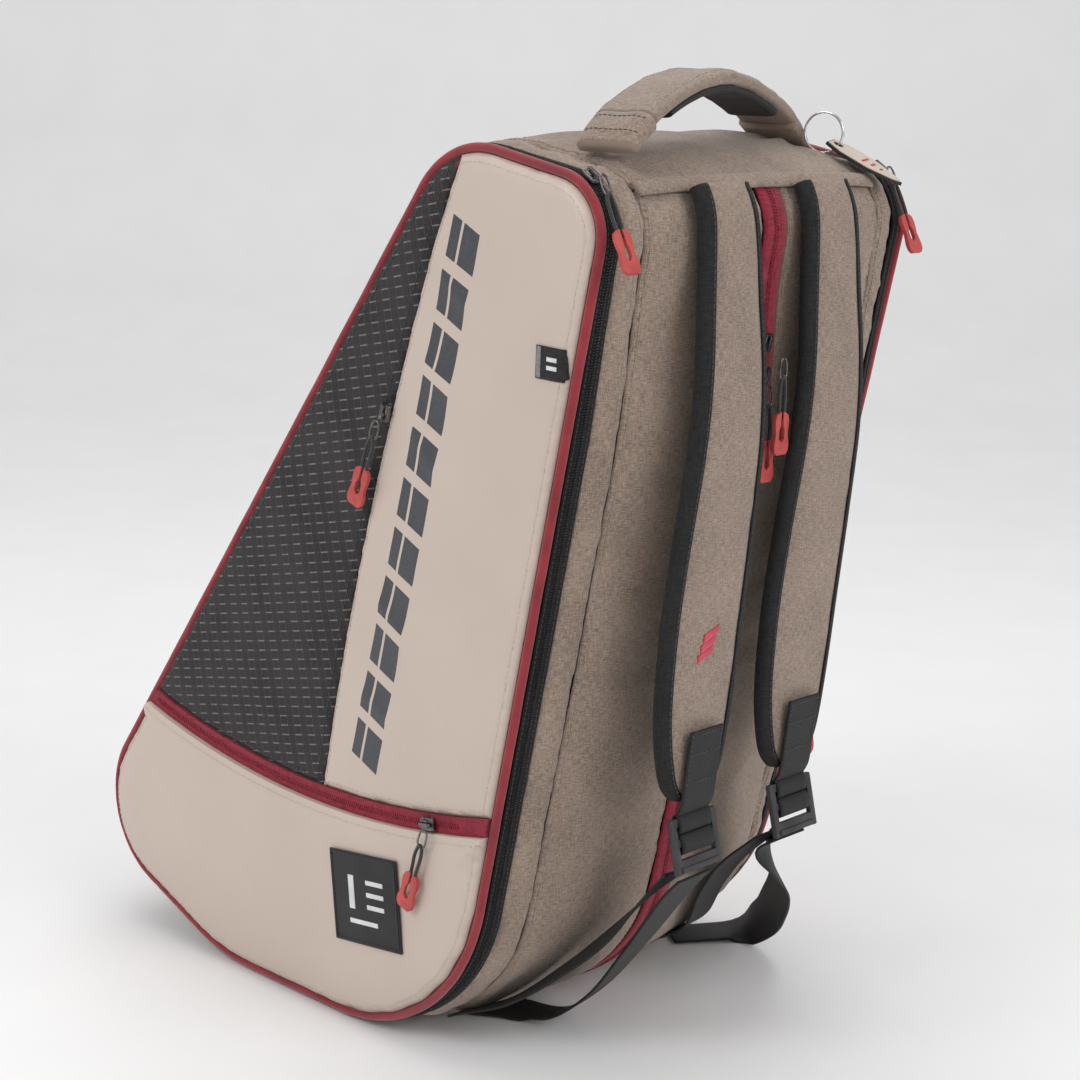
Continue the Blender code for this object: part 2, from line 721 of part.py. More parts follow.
def top_height(x, depth):
    """Height of the shell's top at x and a depth."""
    place = crossing(TOP_START, CORNERS + YOKE_PLACE, lambda place: skin(place, depth).x < x)
    return skin(place, depth).z


def make_handle():
    """The carry handle: two sewn ends on the top, and between them the arch, with a mesh pad under its middle.

    The arch turns about the level line through its two cut ends.
    """
    near, far = Vector((*HANDLE_NEAR_END, 0.0)), Vector((*HANDLE_FAR_END, 0.0))
    middle = (near + far) / 2
    reach = (far - near).length / 2
    along = (far - near).normalized()
    across = Vector((along.y, -along.x, 0.0)) * (HANDLE_WIDTH / 2)
    foot = max(top_height(end.x, end.y) for end in (near, far)) + HANDLE_WALL / 2 + GAP

    def centre_line(share):
        """Point of the arch's middle line, and how tall a section is there."""
        rise = HANDLE_RISE * (1 - abs(share) ** HANDLE_POWER)
        slope = HANDLE_RISE * HANDLE_POWER * abs(share) ** (HANDLE_POWER - 1) / reach
        point = middle + along * (share * reach)
        return Vector((point.x, point.y, foot + rise)), HANDLE_WALL * math.sqrt(1 + slope**2)

    def section(point, low, high):
        """Corners across the handle, from the low to the high offset."""
        corners = [(side / 2, low) for side in range(-2, 3)] + [(1, high), (-1, high)]
        return [point + across * side + Vector((0.0, 0.0, offset)) for side, offset in corners]

    for name, side in (("handle_foot_near", -1), ("handle_foot_far", 1)):
        sections = []
        for share in HANDLE_FOOT_SECTIONS:
            point, height = centre_line(side * share)
            ring = section(point, 0.0, height / 2)
            for corner in ring[:-2]:
                corner.z = top_height(corner.x, corner.y) + 2 * GAP
            sections.append(ring)
        loft(name, sections, TAN_CLOTH)

    share = HANDLE_FOOT_SHARE - HANDLE_GAP / reach
    pivot, _ = centre_line(share)
    axis = joint_empty("handle_axis", (middle.x, middle.y, pivot.z), along)
    sections = []
    for step in range(-HANDLE_STEPS, HANDLE_STEPS + 1):
        point, height = centre_line(share * step / HANDLE_STEPS)
        sections.append(section(point, -height / 2, height / 2))
    hang(loft("carry_handle", sections, TAN_CLOTH), axis)
    sections = []
    for step in range(-HANDLE_PAD_STEPS, HANDLE_PAD_STEPS + 1):
        point, height = centre_line(HANDLE_PAD_SHARE * step / HANDLE_PAD_STEPS)
        top = -height / 2 - GAP
        sections.append(section(point, top - HANDLE_PAD_WALL * height / HANDLE_WALL, top))
    hang(loft("handle_pad", sections, MESH_CLOTH), axis)


# Shoulder straps


def make_strap(side, tail_route, tail_turns, anchor_route, anchor_turns, sewn_end):
    """One shoulder strap with its webbing, adjuster, anchored webbing and loose tail."""
    name = SIDE_NAME[side]
    depth = side * STRAP_CENTRE[side]
    points = []
    for place in STRAP_SEWN_PLACES:
        _, normal = outline_at(place)
        rise = STRAP_WALL / 2 + 2 * GAP
        points.append(skin(place, 0.0) + Vector((normal.x * rise, depth, normal.y * rise)))
    swing = joint_empty(f"strap_axis_{name}", points[0], (0, -1, 0))
    points += [points[-1] + Vector((x, 0.0, z)) for x, z in STRAP_ROUTE]
    widths = [Vector((0.0, width, 0.0)) for width in STRAP_WIDTHS]
    hang(ribbon(f"strap_pad_{name}", points, widths, STRAP_WALL, TAN_CLOTH), swing)

    face = STRAP_WALL / 2 + WEBBING_WALL / 2 + 3 * GAP
    tip = points[-1]
    bar_top = tip - Vector((0.0, 0.0, ADJUSTER_DROP * 0.4))
    web = [
        tip + Vector((face + 0.005, 0.0, WEBBING_OVERLAP)),
        tip + Vector((face + 0.0025, 0.0, WEBBING_OVERLAP * 0.5)),
        tip + Vector((face, 0.0, 0.0)),
        bar_top + Vector((0.0045, 0.0, 0.0)),
    ]
    span = Vector((0.0, WEBBING_WIDTH, 0.0))
    hang(ribbon(f"strap_webbing_{name}", web, [span] * 4, WEBBING_WALL, WEBBING), swing)

    pivot = web[-1] - Vector((0.0, 0.0, ADJUSTER_BAR))
    tilt = joint_empty(f"adjuster_axis_{name}", pivot, (0, -1, 0))
    hang(tilt, swing)
    half_width, height = ADJUSTER_SIZE[0] / 2, ADJUSTER_SIZE[1]
    frame = [
        (-half_width, ADJUSTER_BAR * 0.6), (half_width, ADJUSTER_BAR * 0.6),
        (half_width, ADJUSTER_BAR * 0.6 - height), (-half_width, ADJUSTER_BAR * 0.6 - height),
    ]
    slot_half = WEBBING_WIDTH / 2 + 0.001
    holes = []
    for slot_top in (-ADJUSTER_BAR * 0.6, -ADJUSTER_BAR * 1.8 - ADJUSTER_SLOT):
        slot_low = slot_top - ADJUSTER_SLOT
        right = [(slot_half, slot_top), (slot_half, slot_low)]
        holes.append([(-slot_half, slot_top)] + right + [(-slot_half, slot_low)])
    adjuster = flat_curve(f"adjuster_{name}", [frame] + holes, ADJUSTER_WALL, BLACK_PLASTIC)
    down = Vector((math.sin(ADJUSTER_TILT), 0.0, -math.cos(ADJUSTER_TILT)))
    adjuster.matrix_world = frame_matrix(pivot, (0, 1, 0), -down)
    hang(adjuster, tilt)

    sewn = []
    for place, end_depth, lift in sewn_end:
        _, normal = outline_at(place)
        sewn.append(skin(place, end_depth) + Vector((normal.x * lift, 0.0, normal.y * lift)))
    for piece, route, turns in (
        (f"lower_webbing_{name}", anchor_route + sewn, anchor_turns),
        (f"webbing_tail_{name}", tail_route, tail_turns),
    ):
        route = [pivot + Vector(route[0])] + [Vector(point) for point in route[1:]]
        across = []
        for turn in turns:
            across.append(WEBBING_WIDTH * Vector(turn).normalized())
        obj = ribbon(piece, route, across, WEBBING_WALL, WEBBING)
        if piece.startswith("webbing_tail"):
            hang(obj, swing)


# Tag


def make_tag():
    """A wire ring at the handle's far end, and a pointed tag on it. Both lie on the bag's top."""
    centre = Vector(RING_CENTRE)
    outward = Vector((math.cos(RING_TURN), math.sin(RING_TURN), 0.0))
    facing = outward.cross(Vector((0.0, 0.0, 1.0)))
    turn = joint_empty("ring_axis", centre - outward * RING_RADIUS, facing)
    bpy.ops.mesh.primitive_torus_add(
        major_radius=RING_RADIUS, minor_radius=RING_WIRE, major_segments=20, minor_segments=6,
    )
    ring = bpy.context.object
    ring.name = "tag_ring"
    ring.data.name = "tag_ring"
    for owner in list(ring.users_collection):
        owner.objects.unlink(ring)
    BAG.objects.link(ring)
    ring.data.materials.append(STEEL)
    ring.matrix_world = frame_matrix(centre, outward, (0, 0, 1))
    hang(ring, turn)

    spoke = outward * math.cos(RING_HOOK) + Vector((0.0, 0.0, math.sin(RING_HOOK)))
    hook = centre + spoke * RING_RADIUS
    along = Vector(TAG_ALONG).normalized()
    across = along.cross(Vector(TAG_FACING)).normalized()
    swing = joint_empty("tag_axis", hook, across)
    hang(swing, turn)
    half = TAG_WIDTH / 2
    outline = [
        (-half * 0.55, 0.006), (half * 0.55, 0.006), (half, -0.008), (half, -TAG_LENGTH * 0.55),
        (0.0, -TAG_LENGTH), (-half, -TAG_LENGTH * 0.55), (-half, -0.008),
    ]
    hole = [
        (TAG_HOLE * math.cos(2 * math.pi * step / 10), TAG_HOLE * math.sin(2 * math.pi * step / 10))
        for step in range(10)
    ]
    tag = flat_curve("tag", [outline, hole], TAG_WALL, CREAM_SKIN)
    tag.matrix_world = frame_matrix(hook, -across, -along)
    hang(tag, swing)


clear_scene()
BAG = new_collection("racket_bag")
FILLETS = fillets()
TAN_CLOTH = material("tan_cloth", (0.36, 0.27, 0.20), 0.9)
CREAM_SKIN = material("cream_skin", (0.62, 0.51, 0.44), 0.5)
RIPSTOP = material("ripstop", (0.05, 0.043, 0.043), 0.7)
PIPING = material("piping", (0.40, 0.03, 0.04), 0.6)
RED_TAPE = material("red_tape", (0.28, 0.01, 0.03), 0.8)
BLACK_TAPE = material("black_tape", (0.016, 0.016, 0.017), 0.8)
MESH_CLOTH = material("mesh_cloth", (0.02, 0.02, 0.022), 0.9)
LINING = material("lining", (0.03, 0.03, 0.032), 0.85)
WEBBING = material("webbing", (0.03, 0.028, 0.028), 0.75)
BLACK_PLASTIC = material("black_plastic", (0.07, 0.065, 0.072), 0.45)
RUBBER = material("rubber", (0.022, 0.022, 0.023), 0.6)
RED_RUBBER = material("red_rubber", (0.60, 0.09, 0.08), 0.55)
DARK_METAL = material("dark_metal", (0.08, 0.075, 0.075), 0.35, 1.0)
STEEL = material("steel", (0.70, 0.70, 0.70), 0.25, 1.0)

# The webbing below each adjuster: points from its pivot (the first) and then in place,
# and its width's direction.
# The tail ends loose on the floor. The other end is sewn to the shell, at places with a depth and a lift.
NEAR_TAIL = [
    (0.004, 0.0, -0.036), (0.222, -0.052, 0.118), (0.193, -0.050, 0.078), (0.161, -0.048, 0.037),
    (0.132, -0.049, 0.0110), (0.112, -0.050, 0.0026), (0.090, -0.060, 0.0020), (0.068, -0.074, 0.0020),
]
NEAR_TAIL_TURNS = [
    (0, 1, 0), (0, 1, 0), (-0.1, 1, 0), (-0.2, 1, 0), (-0.1, 1, 0), (0.3, 1, 0), (0.5, 1, 0), (0.6, 1, 0),
]
NEAR_ANCHOR = [(-0.008, 0.0, -0.036), (0.204, -0.058, 0.112), (0.184, -0.070, 0.084), (0.160, -0.084, 0.058)]
NEAR_ANCHOR_TURNS = [
    (0, 1, 0), (-0.3, 1, 0), (-0.6, 0.8, -0.1), (-0.6, 0.7, -0.2), (-0.6, 0.7, -0.3), (-0.6, 0.7, -0.35),
]
NEAR_SEWN = [(1.20, -0.096, 0.008), (1.30, -0.103, 0.0020)]
FAR_TAIL = [
    (0.000, 0.002, -0.036), (0.215, 0.050, 0.124), (0.206, 0.068, 0.102), (0.196, 0.090, 0.080),
    (0.174, 0.116, 0.054), (0.146, 0.142, 0.026), (0.118, 0.152, 0.006), (0.100, 0.136, 0.0022),
    (0.084, 0.113, 0.0020),
]
FAR_TAIL_TURNS = [
    (0, 1, 0), (-0.4, 1, 0), (-0.7, 0.7, 0), (-0.8, 0.6, 0), (-0.8, 0.5, 0), (-0.9, 0.5, 0), (-0.9, 0.5, 0),
    (-0.8, 0.7, 0), (-0.8, 0.8, 0),
]
FAR_ANCHOR = [(-0.012, 0.0, -0.036), (0.192, 0.043, 0.108), (0.170, 0.050, 0.080)]
FAR_ANCHOR_TURNS = [(0, 1, 0), (0, 1, 0), (-0.1, 1, 0), (-0.3, 1, -0.1), (-0.5, 0.85, -0.3)]
FAR_SEWN = [(1.14, 0.062, 0.007), (1.25, 0.078, 0.0020)]

make_shell()
hinges = {}
for which in (NEAR, FAR):
    make_compartment_walls(which)
    hinges[which] = make_door(which)
make_labels(hinges[NEAR])
make_door_zip_slider("top_near", NEAR, 0.12)
make_door_zip_slider("top_far", FAR, 0.12)
make_strap_edge_slider("low_far", FAR, 0.86)
make_centre_slider("centre_upper", UPPER_SLIDER_PLACE, UPPER_PULL_SHIFT, False)
make_centre_slider("centre_lower", UPPER_SLIDER_PLACE + SLIDER_SPACING, 0.0, True)
make_flap_slider("flap_near", NEAR, 0.405, hinges[NEAR])
for which in (NEAR, FAR):
    make_pocket_slider(f"pocket_{SIDE_NAME[which]}", which, 0.104, hinges[which])
make_handle()
make_strap(NEAR, NEAR_TAIL, NEAR_TAIL_TURNS, NEAR_ANCHOR, NEAR_ANCHOR_TURNS, NEAR_SEWN)
make_strap(FAR, FAR_TAIL, FAR_TAIL_TURNS, FAR_ANCHOR, FAR_ANCHOR_TURNS, FAR_SEWN)
make_tag()
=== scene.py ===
"""Racket tournament bag: heather cloth, coated and ripstop panels, zips, padded straps and a handle."""
import json
import math

import bmesh
import bpy
import numpy as np
from mathutils import Matrix, Vector, noise
from mathutils.bvhtree import BVHTree
from mathutils.geometry import delaunay_2d_cdt

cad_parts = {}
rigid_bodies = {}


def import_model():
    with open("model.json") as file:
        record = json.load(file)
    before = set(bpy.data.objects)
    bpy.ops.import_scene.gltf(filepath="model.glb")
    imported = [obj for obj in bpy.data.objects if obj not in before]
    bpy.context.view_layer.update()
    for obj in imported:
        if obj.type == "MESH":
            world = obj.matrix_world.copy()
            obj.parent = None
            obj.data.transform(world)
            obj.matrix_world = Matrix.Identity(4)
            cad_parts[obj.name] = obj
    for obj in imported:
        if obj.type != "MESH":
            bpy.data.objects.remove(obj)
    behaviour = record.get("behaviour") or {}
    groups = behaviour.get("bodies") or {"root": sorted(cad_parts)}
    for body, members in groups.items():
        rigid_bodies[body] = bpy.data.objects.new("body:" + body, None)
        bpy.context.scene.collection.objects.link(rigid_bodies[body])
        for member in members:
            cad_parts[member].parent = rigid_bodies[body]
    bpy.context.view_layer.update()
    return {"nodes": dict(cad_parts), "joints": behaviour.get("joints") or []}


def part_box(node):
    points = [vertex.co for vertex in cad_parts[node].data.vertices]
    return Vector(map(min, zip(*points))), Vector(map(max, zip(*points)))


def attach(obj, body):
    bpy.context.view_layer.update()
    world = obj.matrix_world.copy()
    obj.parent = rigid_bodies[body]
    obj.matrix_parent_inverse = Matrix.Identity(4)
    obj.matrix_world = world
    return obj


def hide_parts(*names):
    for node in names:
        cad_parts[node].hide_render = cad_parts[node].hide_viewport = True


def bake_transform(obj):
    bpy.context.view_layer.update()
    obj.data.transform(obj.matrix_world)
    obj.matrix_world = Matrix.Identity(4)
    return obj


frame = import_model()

# Studio: a pale sweep of paper, three large soft lights and a long lens at hip height.
# Nothing here belongs to the bag.

lens_place = Vector((1.003, -1.014, 0.611))
lens_back = Vector((0.668, -0.712, 0.216)).normalized()
lens_right = Vector((-0.168, 0.139, 0.976)).cross(lens_back).normalized()
lens_up = lens_back.cross(lens_right)
camera = bpy.data.objects.new("camera", bpy.data.cameras.new("camera"))
camera.data.lens = 71.67
camera.data.clip_start = 0.02
camera.matrix_world = Matrix.Translation(lens_place) @ Matrix(
    (lens_right, lens_up, lens_back)
).transposed().to_4x4()
bpy.context.scene.collection.objects.link(camera)
bpy.context.scene.camera = camera
bpy.context.scene.view_settings.view_transform = "Standard"


def new_material(name, roughness, **settings):
    """A material, its tree and its shader, with the shader's plain sockets set."""
    made = bpy.data.materials.new(name)
    made.use_nodes = True
    shader = made.node_tree.nodes["Principled BSDF"]
    shader.inputs["Roughness"].default_value = roughness
    for socket, value in settings.items():
        shader.inputs[socket.replace("_", " ")].default_value = value
    return made, made.node_tree, shader


def put(tree, kind, inputs=(), **settings):
    """Adds a node, sets its properties, sets or links its inputs, and returns its first output."""
    made = tree.nodes.new("ShaderNode" + kind)
    for name, value in settings.items():
        setattr(made, name, value)
    for key, value in dict(inputs).items():
        if isinstance(value, bpy.types.NodeSocket):
            tree.links.new(value, made.inputs[key])
        else:
            made.inputs[key].default_value = value
    return made.outputs[0]


def own_place(tree):
    """Where a point is on the piece itself."""
    return tree.nodes.new("ShaderNodeTexCoord").outputs["Object"]


def math_of(tree, operation, first, second=0.0):
    return put(tree, "Math", {0: first, 1: second}, operation=operation)


def ramp_of(tree, factor, low, high, dark, light):
    """A colour that goes from dark to light as the factor goes from low to high."""
    shade = put(tree, "MapRange", {"Value": factor, "From Min": low, "From Max": high})
    mixed = tree.nodes.new("ShaderNodeMix")
    mixed.data_type = "RGBA"
    tree.links.new(shade, mixed.inputs["Factor"])
    for socket, value in (("A", dark), ("B", light)):
        place = next(s for s in mixed.inputs if s.name == socket and s.type == "RGBA")
        if isinstance(value, bpy.types.NodeSocket):
            tree.links.new(value, place)
        else:
            place.default_value = (*value, 1.0)
    return next(s for s in mixed.outputs if s.type == "RGBA")


def relief(tree, shader, height, strength, distance):
    """Raises the surface by height, on top of any relief that it has already."""
    bump = tree.nodes.new("ShaderNodeBump")
    bump.inputs["Strength"].default_value = strength
    bump.inputs["Distance"].default_value = distance
    tree.links.new(height, bump.inputs["Height"])
    under = shader.inputs["Normal"]
    if under.links:
        tree.links.new(under.links[0].from_socket, bump.inputs["Normal"])
    tree.links.new(bump.outputs["Normal"], under)


paper, paper_tree, paper_shader = new_material("paper", 0.75)
paper_grain = put(paper_tree, "TexNoise", {"Vector": own_place(paper_tree), "Scale": 9.0})
paper_tone = ramp_of(paper_tree, paper_grain, 0.3, 0.7, (0.86, 0.86, 0.865), (0.88, 0.88, 0.885))
paper_tree.links.new(paper_tone, paper_shader.inputs["Base Color"])

sweep_rows = []
for reach, lift in [
    (-3.0, 0.0), (1.6, 0.0), (2.2, 0.03), (2.7, 0.16), (3.05, 0.45), (3.2, 0.9), (3.25, 3.2)
]:
    away = Vector((-lens_back.x, -lens_back.y, 0.0)).normalized()
    beside = Vector((-away.y, away.x, 0.0))
    middle = Vector((0.0, 0.0, lift)) + away * reach
    sweep_rows += [middle - beside * 5.0, middle + beside * 5.0]
sweep = bpy.data.meshes.new("sweep")
sweep.from_pydata(sweep_rows, [], [(k, k + 1, k + 3, k + 2) for k in range(0, len(sweep_rows) - 2, 2)])
sweep.materials.append(paper)
sweep.shade_smooth()
backdrop = bpy.data.objects.new("backdrop", sweep)
bpy.context.scene.collection.objects.link(backdrop)


def soft_light(name, place, size, power):
    """A square panel of light aimed at the middle of the bag."""
    lamp = bpy.data.lights.new(name, "AREA")
    lamp.shape = "SQUARE"
    lamp.size = size
    lamp.energy = power
    obj = bpy.data.objects.new(name, lamp)
    aim = Vector((0.05, 0.0, 0.30)) - Vector(place)
    obj.matrix_world = Matrix.Translation(place) @ aim.to_track_quat("-Z", "Y").to_matrix().to_4x4()
    bpy.context.scene.collection.objects.link(obj)


soft_light("key", (-0.2, -2.3, 1.9), 1.4, 25.0)
soft_light("fill", (2.5, 0.3, 1.5), 1.6, 23.0)
soft_light("top", (-0.4, 0.2, 2.6), 2.0, 22.0)
sky = bpy.data.worlds.new("room")
sky.use_nodes = True
sky.node_tree.nodes["Background"].inputs["Color"].default_value = (1.0, 1.0, 1.0, 1.0)
sky.node_tree.nodes["Background"].inputs["Strength"].default_value = 0.56
bpy.context.scene.world = sky

# Shell: heather cloth laid over foam and sewn into one tube round the racket outline, with a
# gusset ring at each side. The panels are cut apart at the seams, pulled tight and topstitched.

BASE_LENGTH, FRONT_REACH, HEEL_SLOPE = 0.228, 0.198, math.radians(22)
STRAP_CORNER_X, BASE_LIFT, STRAP_EDGE_RISE, STRAP_LEAN = 0.123, 0.004, 0.543, math.radians(11.2)
TOP_LENGTH, TOP_RISE = 0.124, 0.0235
CORNER_RADII = [0.035, 0.130, 0.150, 0.060, 0.060]
CROWN = np.array([
    (0.0, 0.008), (0.5, 0.010), (0.65, 0.024), (0.8, 0.026), (1.0, 0.026), (1.5, 0.012), (2.0, 0.010),
    (2.5, 0.010), (3.0, 0.012), (3.5, 0.016), (3.75, 0.018), (4.0, 0.016), (4.5, 0.006), (5.0, 0.008),
])
HALF_DEPTH, SEAM_DEPTH, GUSSET_DEPTH = 0.141, 0.111, 0.1295
YOKE_PLACE, STRAP_PANEL_END, FRONT_START, TOP_START = 0.20, 1.44, 2.75, 4.2
CENTRE_ZIP_HALF = 0.011
CLOTH_STEP = 0.008
SHELL_WALL = 0.0026
SIDES = {"near": -1, "far": 1}


def outline_corners():
    """Strap top, strap base, heel, front base and front top corner of the racket outline."""
    strap_base = Vector((STRAP_CORNER_X, BASE_LIFT))
    strap_top = strap_base + STRAP_EDGE_RISE * Vector((math.tan(STRAP_LEAN), 1.0))
    heel = strap_base - Vector((BASE_LENGTH, 0.0))
    front_top = strap_top + Vector((-TOP_LENGTH, TOP_RISE))
    front_foot = heel - Vector((FRONT_REACH, 0.0))
    front = front_top - front_foot
    rise = FRONT_REACH * math.tan(HEEL_SLOPE) / (1 + math.tan(HEEL_SLOPE) * front.x / front.y)
    return [strap_top, strap_base, heel, front_foot + front * (rise / front.y), front_top]


CORNERS = outline_corners()
FILLETS = []
for corner_index, corner in enumerate(CORNERS):
    before = (corner - CORNERS[corner_index - 1]).normalized()
    after = (CORNERS[(corner_index + 1) % 5] - corner).normalized()
    corner_radius = CORNER_RADII[corner_index]
    normal_in, normal_out = Vector((-before.y, before.x)), Vector((-after.y, after.x))
    bend = math.acos(max(-1.0, min(1.0, before.dot(after))))
    arc_start = corner - before * corner_radius * math.tan(bend / 2)
    FILLETS.append((arc_start - normal_in * corner_radius, corner_radius, normal_in, normal_out))


def outline_at(place, offset=0.0):
    """Point and outward normal on the outline, as (x, z).

    Corner k takes k to k + 0.5, and the straight after it the rest.
    """
    place = place % 5
    index = int(place)
    share = place - index
    centre, radius, first, last = FILLETS[index]
    if share <= 0.5:
        normal = first.copy()
        normal.rotate(Matrix.Rotation(-first.angle_signed(last) * share * 2, 2))
        return centre + normal * (radius + offset), normal
    next_centre, next_radius, next_first, _ = FILLETS[(index + 1) % 5]
    start = centre + last * (radius + offset)
    end = next_centre + next_first * (next_radius + offset)
    return start.lerp(end, (share - 0.5) * 2), last


def crown_at(place):
    """How far the foam stands out of the outline there, in the middle of the bag's thickness."""
    place = place % 5
    index = max(1, int(np.searchsorted(CROWN[:, 0], place)))
    (start, low), (end, high) = CROWN[index - 1], CROWN[index]
    share = (place - start) / (end - start)
    return low + (high - low) * share * share * (3 - 2 * share)


def skin(place, depth, lift=0.0):
    """Point of the stuffed shell at a place round it and a depth across it. It lies flat on the floor."""
    bulge = max(0.0, 1.0 - (depth / HALF_DEPTH) ** 2) ** 0.7
    point, normal = outline_at(place, crown_at(place) * bulge)
    return Vector((point.x + normal.x * lift, depth, max(point.y, 0.0) + normal.y * lift))


def even_places(first, last, step):
    """Places from first to last, an even step apart along the outline."""
    marks = np.linspace(first, last, 600)
    points = np.array([outline_at(mark)[0] for mark in marks])
    lengths = np.r_[0.0, np.cumsum(np.linalg.norm(np.diff(points, axis=0), axis=1))]
    count = max(2, round(lengths[-1] / step))
    return np.interp(np.linspace(0, lengths[-1], count + 1), lengths, marks), lengths[-1]


def cloth_grid(name, rows, length, low, high, finish, closed=False):
    """A sheet of quads through rows of points, with a UV map in metres: along the rows, then across them."""
    count, across = len(rows), len(rows[0])
    mesh = bpy.data.meshes.new(name)
    faces = []
    for row in range(count if closed else count - 1):
        here, there = row * across, (row + 1) % count * across
        faces += [(here + k, here + k + 1, there + k + 1, there + k) for k in range(across - 1)]
    mesh.from_pydata([point for row in rows for point in row], [], faces)
    layer = mesh.uv_layers.new(name="cloth")
    spans = count if closed else count - 1
    uvs = []
    for row in range(spans):
        for k in range(across - 1):
            for r, c in ((row, k), (row, k + 1), (row + 1, k + 1), (row + 1, k)):
                uvs += [length * r / spans, low + (high - low) * c / (across - 1)]
    layer.data.foreach_set("uv", uvs)
    mesh.materials.append(finish)
    mesh.shade_smooth()
    obj = bpy.data.objects.new(name, mesh)
    bpy.context.scene.collection.objects.link(obj)
    return obj


def face_away(obj, centre):
    """Turns the sheet's faces so that they look away from the centre."""
    mesh = obj.data
    towards = sum((face.center - Vector(centre)).dot(face.normal) * face.area for face in mesh.polygons)
    if towards < 0:
        mesh.flip_normals()


def settle(obj, pressure, slack, cap, steps=14):
    """Blows the sheet up as cloth that is sewn down along its open edges. No point moves further than cap."""
    mesh = obj.data
    counts = {}
    for face in mesh.polygons:
        for key in face.edge_keys:
            counts[key] = counts.get(key, 0) + 1
    sewn = sorted({end for key, count in counts.items() if count == 1 for end in key})
    group = obj.vertex_groups.new(name="sewn")
    group.add(sewn, 1.0, "REPLACE")
    start = np.empty(len(mesh.vertices) * 3)
    mesh.vertices.foreach_get("co", start)
    cloth = obj.modifiers.new("cloth", "CLOTH")
    cloth.settings.quality = 5
    cloth.settings.mass = 0.25
    cloth.settings.tension_stiffness = cloth.settings.compression_stiffness = 12
    cloth.settings.bending_stiffness = 0.3
    cloth.settings.vertex_group_mass = "sewn"
    cloth.settings.use_pressure = True
    cloth.settings.uniform_pressure_force = pressure
    cloth.settings.shrink_min = -slack
    cloth.settings.effector_weights.gravity = 0.0
    cloth.point_cache.frame_start, cloth.point_cache.frame_end = 1, steps
    scene = bpy.context.scene
    for step in range(1, steps + 1):
        scene.frame_set(step)
    graph = bpy.context.evaluated_depsgraph_get()
    end = np.empty(len(start))
    obj.evaluated_get(graph).data.vertices.foreach_get("co", end)
    moved = (end - start).reshape(-1, 3)
    reach = np.linalg.norm(moved, axis=1, keepdims=True)
    moved *= cap * np.tanh(reach / cap) / np.maximum(reach, 1e-9)
    obj.modifiers.remove(cloth)
    mesh.vertices.foreach_set("co", (start.reshape(-1, 3) + moved).ravel())
    mesh.update()
    scene.frame_set(1)


def finer(obj, levels):
    """Subdivides the sheet for good."""
    modifier = obj.modifiers.new("finer", "SUBSURF")
    modifier.levels = modifier.render_levels = levels
    fix_modifiers(obj)


def fix_modifiers(obj):
    """Turns what the modifiers show into the piece's plain mesh."""
    bpy.context.view_layer.update()
    graph = bpy.context.evaluated_depsgraph_get()
    mesh = bpy.data.meshes.new_from_object(
        obj.evaluated_get(graph), preserve_all_data_layers=True, depsgraph=graph
    )
    obj.modifiers.clear()
    obj.data = mesh
    mesh.name = obj.name


def crease(point, size):
    """Sharp-backed folds, from 0 in the flats to 1 on a ridge."""
    return (1.0 - abs(noise.noise(Vector(point) / size))) ** 5


def shape_cloth(obj, height_at):
    """Moves each point out by height_at(u, v, point), where u and v are its cloth coordinates."""
    mesh = obj.data
    corners = np.empty(len(mesh.loops), dtype=int)
    mesh.loops.foreach_get("vertex_index", corners)
    uvs = np.empty(len(mesh.loops) * 2)
    mesh.uv_layers["cloth"].data.foreach_get("uv", uvs)
    place = np.zeros((len(mesh.vertices), 2))
    place[corners] = uvs.reshape(-1, 2)
    normals = [vertex.normal.copy() for vertex in mesh.vertices]
    for vertex, normal, (u, v) in zip(mesh.vertices, normals, place):
        vertex.co += normal * height_at(u, v, vertex.co)
    mesh.update()


def sewn_edge(distance, dip=0.0014, reach=0.0032):
    """How far cloth is pulled in beside a seam."""
    return -dip * math.exp(-((distance / reach) ** 2))


def pucker(distance, along, amount=0.0010):
    """The gathers that stand square to a seam and die out away from it."""
    return amount * math.exp(-distance / 0.010) * noise.noise(
        Vector((along / 0.0075, distance / 0.03, 0.7))
    )


def give_wall(obj, thickness, lining=None):
    """Thickens the sheet inwards, with a lining on its inner side if one is given."""
    wall = obj.modifiers.new("wall", "SOLIDIFY")
    wall.thickness = thickness
    wall.offset = -1.0
    if lining:
        obj.data.materials.append(lining)
        wall.material_offset = 1
    fix_modifiers(obj)


def fit(obj, body, slot, *solids):
    """Fixes a finished piece to a body, in the place of its plain solids."""
    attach(obj, body)
    if solids:
        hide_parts(*solids)
    return obj


